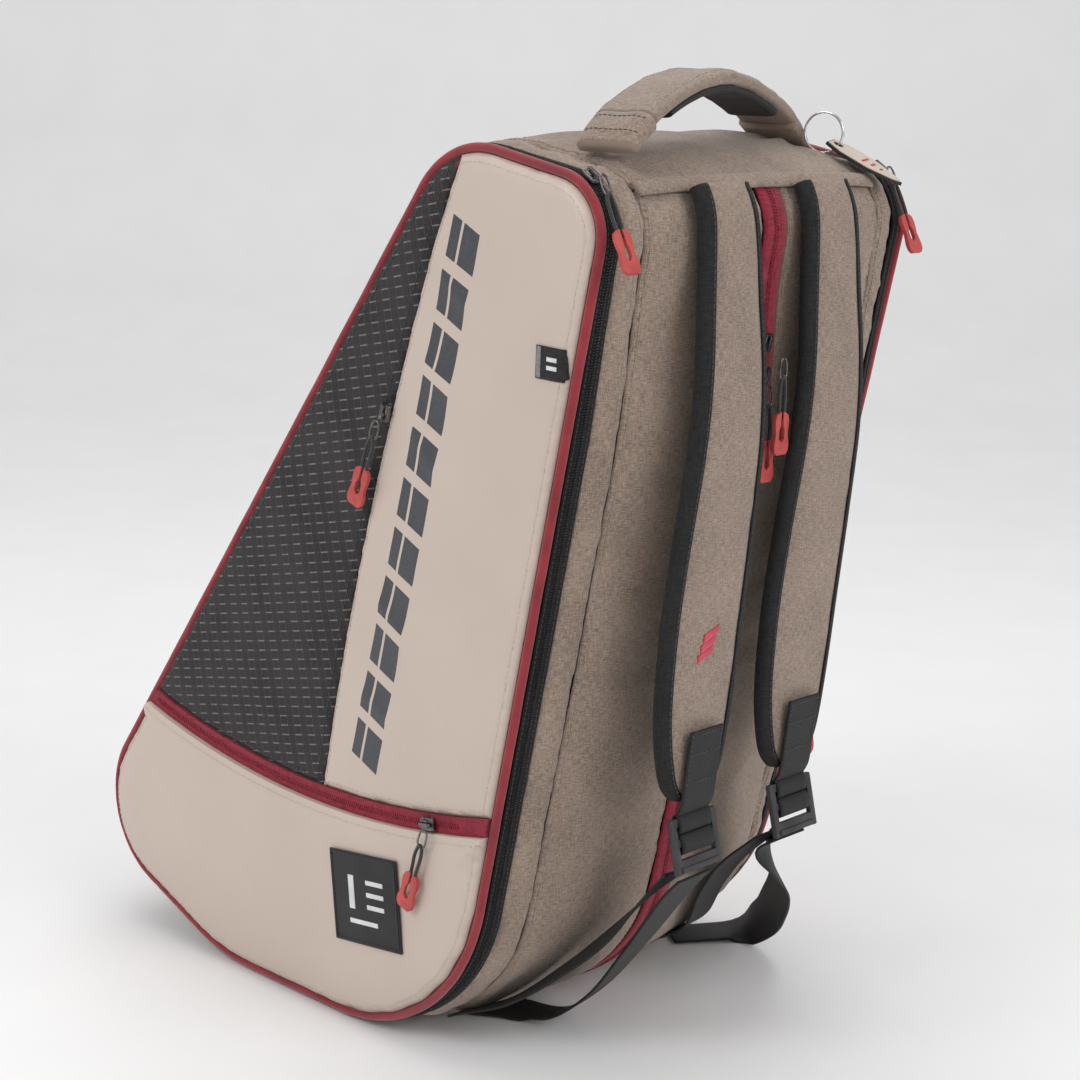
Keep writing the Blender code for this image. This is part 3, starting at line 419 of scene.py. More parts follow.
def woven(name, dark, light, roughness, thread, weave_depth, melange, slub=1.0, sheen=0.25):
    """Plain woven cloth: coloured yarns of two tones crossing at right angles, with slubs along them."""
    made, tree, shader = new_material(
        name, roughness, Sheen_Weight=sheen, Sheen_Roughness=0.5, Specular_IOR_Level=0.25
    )
    cloth = put(tree, "UVMap", uv_map="cloth")
    threads = []
    for stretch in ((90.0, 700.0, 1.0), (700.0, 90.0, 1.0)):
        run = put(tree, "Mapping", {"Vector": cloth, "Scale": stretch})
        threads.append(
            put(tree, "TexNoise", {"Vector": run, "Scale": melange, "Detail": 3.0, "Roughness": 0.65})
        )
    tone = math_of(tree, "ADD", threads[0], threads[1])
    broad = put(tree, "TexNoise", {"Vector": cloth, "Scale": 22.0, "Detail": 3.0})
    tone = math_of(tree, "ADD", tone, math_of(tree, "MULTIPLY", broad, 0.35))
    colour = ramp_of(tree, tone, 0.98, 1.36, dark, light)
    tree.links.new(colour, shader.inputs["Base Color"])
    over = []
    for turn in (0.0, math.pi / 2):
        run = put(tree, "Mapping", {"Vector": cloth, "Rotation": (0.0, 0.0, turn)})
        over.append(
            put(tree, "TexWave", {"Vector": run, "Scale": 0.314 / thread, "Distortion": 0.4, "Detail": 1.0})
        )
    relief(tree, shader, math_of(tree, "MULTIPLY", over[0], over[1]), 0.6, weave_depth)
    relief(tree, shader, tone, 0.35 * slub, weave_depth * 2)
    return made


heather = woven("heather_cloth", (0.175, 0.128, 0.098), (0.395, 0.300, 0.238), 0.92, 0.0010, 0.0004, 2.3)
lining = woven("lining", (0.018, 0.018, 0.020), (0.040, 0.040, 0.043), 0.85, 0.0016, 0.0003, 1.0, sheen=0.1)
CENTRE = Vector((0.04, 0.0, 0.28))


def shell_panel(name, first, last, low, high, folds, pressure=1.6, closed=False, solid=None):
    """One panel of the shell between two seams, blown out by its foam and drawn in along its edges."""
    places, length = even_places(first, last, CLOTH_STEP)
    if closed:
        places = places[:-1]
    count = max(3, round((high - low) / CLOTH_STEP))
    depths = np.linspace(low, high, count + 1)
    obj = cloth_grid(
        name, [[skin(p, d) for d in depths] for p in places], length, low, high, heather, closed
    )
    face_away(obj, CENTRE)
    settle(obj, pressure, 0.012, 0.004)
    finer(obj, 2)

    def height(u, v, point):
        side = min(v - low, high - v)
        end = 1.0 if closed else min(u, length - u)
        rise = sewn_edge(side) + sewn_edge(end) + pucker(side, u) + pucker(end, v)
        inner = min(1.0, side / 0.02) * min(1.0, end / 0.02)
        return rise + folds(u, v, point, inner)

    shape_cloth(obj, height)
    for vertex in obj.data.vertices:
        vertex.co.z = max(vertex.co.z, 0.0)
    give_wall(obj, SHELL_WALL, lining)
    return obj


def quiet_folds(u, v, point, inner):
    return 0.0012 * inner * (crease(point, 0.09) - 0.4) + 0.0006 * inner * noise.noise(point / 0.03)


def top_folds(u, v, point, inner):
    """Folds that run out from the handle's sewn ends."""
    rise = quiet_folds(u, v, point, inner)
    for end in (Vector((0.199, -0.114, point.z)), Vector((0.153, 0.108, point.z))):
        away = point - end
        turn = math.atan2(away.y, away.x)
        rise += 0.0022 * inner * math.exp(-away.length / 0.05) * math.cos(turn * 7.0 + away.length * 30)
    return rise


def gusset_folds(u, v, point, inner):
    """Shallow creases across the narrow gusset, where it turns the corners."""
    return 0.0010 * (crease((u / 0.6, v * 0.5, 3.0), 0.045) - 0.35)


HALF_SEAM = 0.0003
for panel, first, last, low, high, folds in (
    ("base_panel", STRAP_PANEL_END, FRONT_START, -SEAM_DEPTH, SEAM_DEPTH, quiet_folds),
    ("front_panel", FRONT_START, TOP_START, -SEAM_DEPTH, SEAM_DEPTH, quiet_folds),
    ("top_panel", TOP_START, 5 + YOKE_PLACE, -SEAM_DEPTH, SEAM_DEPTH, top_folds),
    ("strap_panel_near", YOKE_PLACE, STRAP_PANEL_END, -SEAM_DEPTH, -CENTRE_ZIP_HALF, quiet_folds),
    ("strap_panel_far", YOKE_PLACE, STRAP_PANEL_END, CENTRE_ZIP_HALF, SEAM_DEPTH, quiet_folds),
):
    made = shell_panel(panel + "_cloth", first, last, low + HALF_SEAM, high - HALF_SEAM, folds)
    fit(made, "shell", "tan_cloth", panel)
for name, side in SIDES.items():
    low, high = sorted((side * (SEAM_DEPTH + HALF_SEAM), side * GUSSET_DEPTH))
    made = shell_panel(f"gusset_{name}_cloth", 0.0, 5.0, low, high, gusset_folds, 0.6, True)
    fit(made, "shell", "tan_cloth", f"gusset_{name}")

# Topstitching: waxed thread, one row on each side of every seam of the shell, pulled a little
# into the cloth. Each stitch is a short bead laid along the row by a node tree.


def row_tree(name, kind):
    """A tree that lays small parts along the piece's edges, each facing as its point's "facing" says."""
    tree = bpy.data.node_groups.new(name, "GeometryNodeTree")
    tree.interface.new_socket("Geometry", in_out="INPUT", socket_type="NodeSocketGeometry")
    for label in ("Spacing", "Length", "Width", "Height"):
        tree.interface.new_socket(label, in_out="INPUT", socket_type="NodeSocketFloat")
    tree.interface.new_socket("Material", in_out="INPUT", socket_type="NodeSocketMaterial")
    tree.interface.new_socket("Geometry", in_out="OUTPUT", socket_type="NodeSocketGeometry")

    def make(kind, links=(), **settings):
        node = tree.nodes.new(kind)
        for key, value in settings.items():
            setattr(node, key, value)
        for key, source in dict(links).items():
            tree.links.new(source, node.inputs[key])
        return node

    given = make("NodeGroupInput").outputs
    curve = make("GeometryNodeMeshToCurve", {"Mesh": given["Geometry"]}).outputs["Curve"]
    row = make(
        "GeometryNodeResampleCurve", {"Curve": curve, "Length": given["Spacing"]}, mode="LENGTH"
    ).outputs["Curve"]
    tangent = make("GeometryNodeInputTangent").outputs[0]
    facing = make("GeometryNodeInputNamedAttribute", data_type="FLOAT_VECTOR")
    facing.inputs["Name"].default_value = "facing"
    lie = make("FunctionNodeAlignRotationToVector", {"Vector": tangent}, axis="X").outputs[0]
    stand = make(
        "FunctionNodeAlignRotationToVector", {"Rotation": lie, "Vector": facing.outputs[0]}, axis="Z",
        pivot_axis="X"
    )
    size = make(
        "ShaderNodeCombineXYZ", {"X": given["Length"], "Y": given["Width"], "Z": given["Height"]}
    ).outputs[0]
    if kind == "bead":
        part = make("GeometryNodeMeshUVSphere")
        part.inputs["Segments"].default_value, part.inputs["Rings"].default_value = 8, 4
        part.inputs["Radius"].default_value = 0.5
        turned = make("GeometryNodeTransform", {"Geometry": part.outputs["Mesh"]})
        turned.inputs["Rotation"].default_value = (0.0, math.pi / 2, 0.0)
        shape = turned.outputs[0]
    else:
        shape = make("GeometryNodeMeshCube").outputs["Mesh"]
    laid = make(
        "GeometryNodeInstanceOnPoints",
        {"Points": row, "Instance": shape, "Rotation": stand.outputs[0], "Scale": size}
    )
    solid = make("GeometryNodeRealizeInstances", {"Geometry": laid.outputs[0]}).outputs[0]
    smooth = make("GeometryNodeSetShadeSmooth", {"Geometry": solid})
    smooth.inputs["Shade Smooth"].default_value = kind == "bead"
    painted = make(
        "GeometryNodeSetMaterial", {"Geometry": smooth.outputs[0], "Material": given["Material"]}
    )
    make("NodeGroupOutput", {"Geometry": painted.outputs[0]})
    return tree


bead_row, tooth_row = row_tree("bead_row", "bead"), row_tree("tooth_row", "tooth")


def lay_row(name, runs, tree, spacing, size, finish, body, slot):
    """Lays parts along runs of (point, facing) pairs, and fixes them to a body."""
    points, facings, edges = [], [], []
    for run in runs:
        edges += [(len(points) + k, len(points) + k + 1) for k in range(len(run) - 1)]
        points += [point for point, _ in run]
        facings += [tuple(facing) for _, facing in run]
    mesh = bpy.data.meshes.new(name)
    mesh.from_pydata(points, edges, [])
    layer = mesh.attributes.new("facing", "FLOAT_VECTOR", "POINT")
    layer.data.foreach_set("vector", [value for facing in facings for value in facing])
    obj = bpy.data.objects.new(name, mesh)
    bpy.context.scene.collection.objects.link(obj)
    modifier = obj.modifiers.new("row", "NODES")
    modifier.node_group = tree
    values = dict(zip(("Spacing", "Length", "Width", "Height", "Material"), (spacing, *size, finish)))
    for item in tree.interface.items_tree:
        if item.in_out == "INPUT" and item.name in values:
            modifier[item.identifier] = values[item.name]
    fix_modifiers(obj)
    return fit(obj, body, slot)


def thread_of(name, colour, lighter):
    """Twisted polyester thread, with painted shade as a dark line between the plies of each stitch."""
    made, tree, shader = new_material(name, 0.6, Sheen_Weight=0.2)
    turned = put(tree, "Mapping", {"Vector": own_place(tree), "Rotation": (0.6, 0.8, 0.5)})
    plies = put(tree, "TexWave", {"Vector": turned, "Scale": 420.0, "Distortion": 1.0})
    # The dark end of this ramp is painted shade in the grooves between the plies.
    tree.links.new(ramp_of(tree, plies, 0.1, 0.8, colour, lighter), shader.inputs["Base Color"])
    relief(tree, shader, plies, 0.5, 0.0002)
    return made


# Each thread's first colour is its painted shade between the plies, the second the plies' own colour.
tan_thread = thread_of("tan_thread", (0.20, 0.15, 0.11), (0.44, 0.35, 0.27))
black_thread = thread_of("black_thread", (0.012, 0.012, 0.013), (0.06, 0.06, 0.062))
STITCH = (0.0030, 0.0007, 0.0007)
STITCH_SPACING = 0.0038


def surface_of(*objects):
    """What a row of stitches can be laid on: the faces of these pieces."""
    points, faces = [], []
    for obj in objects:
        start = len(points)
        points += [vertex.co.copy() for vertex in obj.data.vertices]
        faces += [[start + k for k in face.vertices] for face in obj.data.polygons]
    return BVHTree.FromPolygons(points, faces)


def laid_on(surface, points, lift, outwards):
    """The points moved onto the surface and lifted off it, each with the way it faces."""
    run = []
    for point, out in zip(points, outwards):
        found, normal, _, _ = surface.ray_cast(Vector(point) + Vector(out) * 0.02, -Vector(out), 0.04)
        if found is None:
            found, normal, _, _ = surface.find_nearest(Vector(point))
        if normal.dot(Vector(out)) < 0:
            normal = -normal
        run.append((found + normal * lift, normal))
    return run


def shell_run(surface, first, last, depth, lift=0.0002, step=0.004):
    """A row of thread round the shell at one depth."""
    places, _ = even_places(first, last, step)
    points = [skin(place, depth) for place in places]
    outs = [Vector((outline_at(place)[1].x, 0.0, outline_at(place)[1].y)) for place in places]
    return laid_on(surface, points, lift, outs)


shell_skin = surface_of(*[obj for obj in bpy.data.objects if obj.name.endswith("_cloth")])
STITCH_INSET = 0.0042
rows = []
for side in SIDES.values():
    rows.append(shell_run(shell_skin, TOP_START - 0.1, 6.44, side * (SEAM_DEPTH - STITCH_INSET)))
    rows.append(shell_run(shell_skin, FRONT_START, TOP_START, side * (SEAM_DEPTH - STITCH_INSET)))
    rows.append(shell_run(shell_skin, 0.0, 5.0, side * (SEAM_DEPTH + STITCH_INSET)))
for place in (YOKE_PLACE - 0.035, TOP_START + 0.05, FRONT_START - 0.02, STRAP_PANEL_END + 0.02):
    depths = np.linspace(-SEAM_DEPTH + 0.003, SEAM_DEPTH - 0.003, 60)
    out = Vector((outline_at(place)[1].x, 0.0, outline_at(place)[1].y))
    rows.append(laid_on(shell_skin, [skin(place, depth) for depth in depths], 0.0002, [out] * 60))
lay_row("shell_stitches", rows, bead_row, STITCH_SPACING, STITCH, tan_thread, "shell", "tan_cloth")

# Yoke edge: the top panel's cloth is folded under and laid over the head of the straps as one
# thick rolled edge, sewn through all the layers.


def smooth_run(points, step, closed=False):
    """A smooth run through points, an even step apart. Extra columns beyond x, y and z are carried along."""
    points = np.array([list(point) for point in points], float)
    if closed:
        wide = np.vstack([points[-1:], points, points[:2]])
    else:
        wide = np.vstack([2 * points[0] - points[1], points, 2 * points[-1] - points[-2]])
    fine = []
    for a, b, c, d in zip(wide, wide[1:], wide[2:], wide[3:]):
        for t in np.linspace(0, 1, 12, endpoint=False):
            fine.append(
                0.5
                * (
                    2 * b + (c - a) * t + (2 * a - 5 * b + 4 * c - d) * t * t
                    + (3 * b - a - 3 * c + d) * t**3
                )
            )
    fine.append(points[0] if closed else points[-1])
    fine = np.array(fine)
    lengths = np.r_[0.0, np.cumsum(np.linalg.norm(np.diff(fine[:, :3], axis=0), axis=1))]
    marks = np.linspace(0, lengths[-1], max(2, round(lengths[-1] / step)) + 1)
    if closed:
        marks = marks[:-1]
    return np.stack([np.interp(marks, lengths, column) for column in fine.T], 1), lengths[-1]


def sweep_piece(name, rings, length, finish, closed=False, capped=True):
    """A skin through rings of the same count of points, with a UV map in metres, and its ends closed."""
    count, around = len(rings), len(rings[0])
    mesh = bpy.data.meshes.new(name)
    faces, uvs = [], []
    middle = rings[count // 2]
    round_it = [0.0]
    for k in range(around):
        round_it.append(round_it[-1] + (Vector(middle[(k + 1) % around]) - Vector(middle[k])).length)
    for row in range(count if closed else count - 1):
        here, there = row * around, (row + 1) % count * around
        for k in range(around):
            beside = (k + 1) % around
            faces.append((here + k, here + beside, there + beside, there + k))
            for r, c in ((row, k), (row, k + 1), (row + 1, k + 1), (row + 1, k)):
                uvs += [length * r / (count - 1), round_it[c]]
    if capped and not closed:
        for ends in (range(around), range((count - 1) * around, count * around)):
            faces.append(tuple(ends))
            uvs += [0.0, 0.0] * around
    mesh.from_pydata([tuple(point) for ring in rings for point in ring], [], faces)
    layer = mesh.uv_layers.new(name="cloth")
    layer.data.foreach_set("uv", uvs)
    shape = bmesh.new()
    shape.from_mesh(mesh)
    bmesh.ops.recalc_face_normals(shape, faces=shape.faces)
    shape.to_mesh(mesh)
    shape.free()
    mesh.materials.append(finish)
    mesh.shade_smooth()
    obj = bpy.data.objects.new(name, mesh)
    bpy.context.scene.collection.objects.link(obj)
    return obj


yoke_rings = []
for depth in np.linspace(-SEAM_DEPTH + 0.001, SEAM_DEPTH - 0.001, 90):
    scallop = 0.004 * math.sin(depth * 38.0) ** 2 + 0.0012 * noise.noise(Vector((depth / 0.02, 0.3, 0.0)))
    ring = []
    for turn in np.linspace(0, 2 * math.pi, 12, endpoint=False):
        place = YOKE_PLACE + 0.010 + scallop + 0.040 * math.cos(turn)
        ring.append(skin(place, depth, 0.0016 + 0.0017 * math.sin(turn)))
    yoke_rings.append(ring)
fit(sweep_piece("yoke_edge", yoke_rings, 2 * SEAM_DEPTH, heather), "shell", "tan_cloth")

# Zips: a woven tape each side of a coil of nylon teeth. The racket doors' zips are black, with
# one tape sewn to the gusset and the other to the door. The middle compartment's zip is dark red.

black_tape = woven(
    "black_zip_tape", (0.007, 0.007, 0.008), (0.020, 0.019, 0.020), 0.8, 0.0009, 0.0003, 1.2, sheen=0.03
)
red_tape = woven(
    "red_zip_tape", (0.17, 0.008, 0.022), (0.33, 0.022, 0.045), 0.78, 0.0009, 0.0003, 1.2, sheen=0.15
)


def nylon(name, dark, light):
    """Moulded nylon teeth, a little uneven from tooth to tooth."""
    made, tree, shader = new_material(name, 0.38)
    spread = put(tree, "TexNoise", {"Vector": own_place(tree), "Scale": 500.0})
    tree.links.new(ramp_of(tree, spread, 0.35, 0.65, dark, light), shader.inputs["Base Color"])
    relief(tree, shader, spread, 0.2, 0.0002)
    return made


black_teeth = nylon("black_teeth", (0.012, 0.012, 0.013), (0.05, 0.05, 0.052))
red_teeth = nylon("red_teeth", (0.16, 0.008, 0.02), (0.36, 0.03, 0.05))
DOOR_ZIP_START, DOOR_ZIP_END, ZIP_DEPTH, DOOR_TAPE_DEPTH = 4.24, 8.28, 0.1353, 0.1390
TAPE_WALL = 0.0013
TOOTH = (0.00052, 0.0011, 0.00055)
TOOTH_SPACING = 0.0017
TOOTH_OFFSET = 0.0009


def tape_piece(name, first, last, low, high, finish):
    """A stretch of zip tape, thin and flat across, that follows the shell."""
    places, length = even_places(first, last, 0.004)
    obj = cloth_grid(
        name, [[skin(p, d) for d in np.linspace(low, high, 5)] for p in places], length, low, high, finish
    )
    face_away(obj, CENTRE)
    give_wall(obj, TAPE_WALL)
    return obj


def teeth_runs(first, last, depth, offset):
    """Two rows of teeth, half a tooth apart, at either side of a depth."""
    found = []
    for side, shift in ((-1, 0.0), (1, 0.5)):
        places, length = even_places(first, last, 0.003)
        share = (last - first) * shift * TOOTH_SPACING / length
        run = []
        for place in places + share:
            normal = outline_at(place)[1]
            run.append((skin(place, depth + side * offset, 0.0009), Vector((normal.x, 0.0, normal.y))))
        found.append(run)
    return found


for name, side in SIDES.items():
    door = f"{name}_door"
    inner = sorted((side * (GUSSET_DEPTH + 0.0002), side * (ZIP_DEPTH - 0.0002)))
    outer = sorted((side * (ZIP_DEPTH + 0.0002), side * DOOR_TAPE_DEPTH))
    shell_tape = tape_piece(f"zip_tape_{name}_cloth", DOOR_ZIP_START, DOOR_ZIP_END, *inner, black_tape)
    fit(shell_tape, "shell", "black_tape", f"zip_tape_{name}")
    door_tape = tape_piece(f"door_zip_tape_{name}_cloth", DOOR_ZIP_START, DOOR_ZIP_END, *outer, black_tape)
    fit(door_tape, door, "black_tape", f"door_zip_tape_{name}")
    teeth = teeth_runs(DOOR_ZIP_START, DOOR_ZIP_END, side * ZIP_DEPTH, TOOTH_OFFSET)
    shell_first = teeth if side > 0 else teeth[::-1]
    for body, run in (("shell", shell_first[0]), (door, shell_first[1])):
        lay_row(
            f"{body}_{name}_teeth", [run], tooth_row, TOOTH_SPACING, TOOTH, black_teeth, body, "black_tape"
        )
    for body, depth, tape in (("shell", 0.1312, shell_tape), (door, 0.1376, door_tape)):
        run = shell_run(surface_of(tape), DOOR_ZIP_START, DOOR_ZIP_END, side * depth, 0.0001)
        lay_row(
            f"{body}_{name}_tape_stitches", [run], bead_row, 0.0033, (0.0025, 0.0006, 0.0005), black_thread,
            body, "black_tape"
        )

centre_tape = tape_piece(
    "centre_zip_cloth", YOKE_PLACE, STRAP_PANEL_END, -CENTRE_ZIP_HALF, CENTRE_ZIP_HALF, red_tape
)
fit(centre_tape, "shell", "red_tape", "centre_zip")
rows = teeth_runs(YOKE_PLACE + 0.05, STRAP_PANEL_END - 0.01, 0.0, 0.0011)
lay_row("centre_teeth", rows, tooth_row, 0.0019, (0.0006, 0.0014, 0.0008), red_teeth, "shell", "red_tape")
rows = [shell_run(shell_skin, YOKE_PLACE + 0.05, STRAP_PANEL_END, side * 0.0145) for side in (-1, 1)]
lay_row("centre_stitches", rows, bead_row, STITCH_SPACING, STITCH, tan_thread, "shell", "tan_cloth")

# Hinge cloth: along the front edge the door has no zip. A strip of the gusset's cloth runs on
# from the shell to the door's piping.

for name, side in SIDES.items():
    depths = np.linspace(side * (GUSSET_DEPTH - 0.0005), side * (DOOR_TAPE_DEPTH + 0.0005), 9)
    places, length = even_places(DOOR_ZIP_END - 5 - 0.003, DOOR_ZIP_START + 0.003, 0.005)
    strip = cloth_grid(
        f"hinge_cloth_{name}", [[skin(p, d) for d in depths] for p in places], length, depths[0],
        depths[-1], heather
    )
    face_away(strip, CENTRE)
    give_wall(strip, 0.0015)
    middle = outline_at(3.75)[0]
    start, end = [(middle.x, side * depth, middle.y) for depth in (GUSSET_DEPTH + 0.001, DOOR_TAPE_DEPTH)]
    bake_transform(strip)

# Piping: a cord in a bias strip of ribbed red cloth, sewn in round the edge of each door. A flat
# strip in a darker copy of that cloth lies between the cord and the panels: painted shade in the crevice
# there.

PIPING_RADIUS = 0.0028
PIPING_DEPTH = DOOR_TAPE_DEPTH + 0.0003 + PIPING_RADIUS


def ribbed(name, dark, light, rib, roughness=0.62):
    """Cloth with ribs that run askew round a cord or across the strip of painted shade beside it."""
    made, tree, shader = new_material(name, roughness, Sheen_Weight=0.3, Specular_IOR_Level=0.3)
    askew = put(
        tree, "Mapping", {"Vector": put(tree, "UVMap", uv_map="cloth"), "Rotation": (0.0, 0.0, 0.8)}
    )
    ribs = put(tree, "TexWave", {"Vector": askew, "Scale": 0.314 / rib, "Distortion": 0.6, "Detail": 1.0})
    worn = put(tree, "TexNoise", {"Vector": own_place(tree), "Scale": 60.0, "Detail": 4.0})
    tone = math_of(tree, "ADD", math_of(tree, "MULTIPLY", ribs, 0.4), worn)
    tree.links.new(ramp_of(tree, tone, 0.35, 1.0, dark, light), shader.inputs["Base Color"])
    relief(tree, shader, ribs, 0.6, 0.0003)
    return made


piping_cloth = ribbed("piping_cloth", (0.16, 0.008, 0.013), (0.33, 0.022, 0.032), 0.0012)
# The piping's cloth made darker: painted shade for the crevice between the cord and the panels.
flange_cloth = ribbed("flange_cloth", (0.10, 0.007, 0.010), (0.19, 0.015, 0.022), 0.0012)


def cord_rings(points, radius, sides=12, closed=False, flat=1.0):
    """Rings round a run of points, for a cord or a wire. A flat cord is lower than it is wide."""
    points = [Vector(point[:3]) for point in points]
    count = len(points)
    rings, turned = [], None
    for k, point in enumerate(points):
        before = points[k - 1] if closed or k else point
        ahead = points[(k + 1) % count] if closed or k < count - 1 else point
        along = (ahead - before).normalized()
        side = turned if turned else along.orthogonal()
        side = (side - along * side.dot(along)).normalized()
        turned = side
        up = along.cross(side)
        spread = np.linspace(0, 2 * math.pi, sides, endpoint=False)
        rings.append(
            [point + side * radius * math.cos(t) + up * radius * flat * math.sin(t) for t in spread]
        )
    return rings


for name, side in SIDES.items():
    places, length = even_places(0.0, 5.0, 0.004)
    run = []
    for place in places[:-1]:
        point = outline_at(place)[0]
        wobble = 0.0003 * noise.noise(Vector((place * 30, side, 0.0)))
        run.append((point.x, side * (PIPING_DEPTH + wobble), point.y))
    tube = sweep_piece(
        f"piping_{name}_cord", cord_rings(run, PIPING_RADIUS, closed=True), length, piping_cloth,
        closed=True
    )
    fit(tube, f"{name}_door", "piping", f"piping_{name}")
    rows = []
    # A dark strip of that cloth between the cord and the panels: painted shade in the crevice there.
    for place in places[:-1]:
        inner, _ = outline_at(place, -0.0085)
        outer, _ = outline_at(place, -0.0010)
        rows.append(
            [
                Vector((p.x, side * (0.1432 + 0.0006 * k), p.y)) for k,
                p in enumerate((outer, (inner + outer) / 2, inner))
            ]
        )
    crevice_shade_strip = cloth_grid(f"flange_{name}", rows, length, 0.0, 0.0075, flange_cloth, closed=True)
    face_away(crevice_shade_strip, (0.04, 0.0, 0.28))
    give_wall(crevice_shade_strip, 0.0008)
    fit(crevice_shade_strip, f"{name}_door", "piping")

# Doors: a stiff padded board faced with a smooth coated panel at the straps, a ripstop panel at
# the front and a coated pocket across the foot. Each is cut, filled with foam and topstitched.

DOOR_FACE = 0.1440
PANEL_STEP = 0.0036


def solid_outline(node, side):
    """The edge of a flat solid's outer face, as (x, z) points in order."""
    mesh = frame["nodes"][node].data
    points = np.array([tuple(vertex.co) for vertex in mesh.vertices])
    keys = [tuple(np.round(point, 5)) for point in points]
    face_depth = (points[:, 1] * side).max()
    ends = {}
    for face in mesh.polygons:
        loop = [keys[k] for k in face.vertices]
        if all(point[1] * side > face_depth - 2e-4 for point in loop):
            for a, b in zip(loop, loop[1:] + loop[:1]):
                if ends.pop((b, a), None) is None:
                    ends[(a, b)] = True
    after = {a: b for a, b in ends}
    start = point = next(iter(after))
    loop = []
    while True:
        here = (point[0], point[2])
        if not loop or math.dist(here, loop[-1]) > 0.0015:
            loop.append(here)
        point = after[point]
        if point == start:
            break
    while math.dist(loop[0], loop[-1]) < 0.0015:
        loop.pop()
    return np.array(loop)


def rounded_loop(loop, step=PANEL_STEP, sharp=math.radians(28)):
    """The loop at an even step: smooth along its curves, with its corners kept."""
    split = []
    for here, ahead in zip(loop, np.roll(loop, -1, axis=0)):
        pieces = max(1, round(math.dist(here, ahead) / 0.014))
        split += [here + (ahead - here) * k / pieces for k in range(pieces)]
    loop = np.array(split)
    count = len(loop)
    corners = []
    for k in range(count):
        before, ahead = loop[k] - loop[k - 1], loop[(k + 1) % count] - loop[k]
        if math.hypot(*before) < 1e-6 or math.hypot(*ahead) < 1e-6:
            continue
        turn = math.atan2(before[0] * ahead[1] - before[1] * ahead[0], before @ ahead)
        if abs(turn) > sharp:
            corners.append(k)
    if not corners:
        flat, _ = smooth_run(np.c_[loop, np.zeros(count)], step, closed=True)
        return flat[:, :2]
    found = []
    for k, corner in enumerate(corners):
        last = corners[(k + 1) % len(corners)]
        span = (last - corner) % count or count
        part = np.array([loop[(corner + j) % count] for j in range(span + 1)])
        run, _ = smooth_run(np.c_[part, np.zeros(len(part))], step)
        found.append(run[:-1, :2])
    return np.vstack(found)


def distance_to(loop, points):
    """How far each point is from the loop, and whether it is inside."""
    ahead = np.roll(loop, -1, axis=0)
    span = ahead - loop
    size = np.maximum((span**2).sum(1), 1e-12)
    share = np.clip(((points[:, None] - loop) * span).sum(2) / size, 0, 1)
    away = np.linalg.norm(points[:, None] - (loop + share[..., None] * span), axis=2).min(1)
    x, z = points[:, :1], points[:, 1:]
    crosses = (loop[:, 1] > z) != (ahead[:, 1] > z)
    rise = np.where(np.abs(span[:, 1]) < 1e-12, 1e-12, span[:, 1])
    inside = (crosses & (x < loop[:, 0] + (z - loop[:, 1]) / rise * span[:, 0])).sum(1) % 2 == 1
    return away, inside


def panel_piece(name, loop, side, foot, height_at, finish, step=PANEL_STEP):
    """A padded panel inside a loop: its face at height_at(distance, x, z), its sides back to foot."""
    low, high = loop.min(0), loop.max(0)
    grid = np.stack(np.meshgrid(np.arange(low[0], high[0], step), np.arange(low[1], high[1], step)), -1)
    grid[1::2, :, 0] += step / 2
    grid = grid.reshape(-1, 2)
    away, inside = distance_to(loop, grid)
    grid = grid[inside & (away > step * 0.55)]
    points = np.vstack([loop, grid])
    count = len(loop)
    edges = [(k, (k + 1) % count) for k in range(count)]
    flat, _, faces, *_ = delaunay_2d_cdt([Vector(p) for p in points], edges, [], 1, 1e-7)
    flat = np.array([tuple(p) for p in flat])
    away, _ = distance_to(loop, flat)
    away[:count] = 0.0
    top = [(x, side * height_at(d, x, z), z) for d, (x, z) in zip(away, flat)]
    mesh = bpy.data.meshes.new(name)
    rim = [(x, side * foot, z) for x, z in flat[:count]]
    faces = [tuple(face) for face in faces]
    start = len(top)
    faces += [(k, (k + 1) % count, start + (k + 1) % count, start + k) for k in range(count)]
    faces.append(tuple(range(start, start + count)))
    mesh.from_pydata(top + rim, [], faces)
    shape = bmesh.new()
    shape.from_mesh(mesh)
    bmesh.ops.recalc_face_normals(shape, faces=shape.faces)
    shape.to_mesh(mesh)
    shape.free()
    layer = mesh.uv_layers.new(name="cloth")
    for face in mesh.polygons:
        for k, vertex in zip(face.loop_indices, face.vertices):
            point = mesh.vertices[vertex].co
            layer.data[k].uv = (point.x, point.z)
    mesh.materials.append(finish)
    mesh.shade_smooth()
    mesh.set_sharp_from_angle(angle=math.radians(60))
    obj = bpy.data.objects.new(name, mesh)
    bpy.context.scene.collection.objects.link(obj)
    return obj


def rolled(distance, foot, top, reach):
    """The height of a padded edge that rolls up from foot to top over reach."""
    share = min(1.0, distance / reach)
    return foot + (top - foot) * math.sqrt(1.0 - (1.0 - share) ** 2)


PRINT_TOP, PRINT_FOOT, PRINT_HALF = (0.1290, 0.5290), (0.0450, 0.1800), 0.0120
PRINT_PITCH, PRINT_SHARE, PRINT_LEAN = 0.0326, 0.76, 0.22


MOUTH_X, MOUTH_Z, MOUTH_RADIUS = 0.005, 0.148, 0.65


def mouth_height(x, raised=0.0):
    """Height of the pocket's arched mouth there."""
    return MOUTH_Z + raised + MOUTH_RADIUS - math.sqrt(MOUTH_RADIUS**2 - (x - MOUTH_X) ** 2)


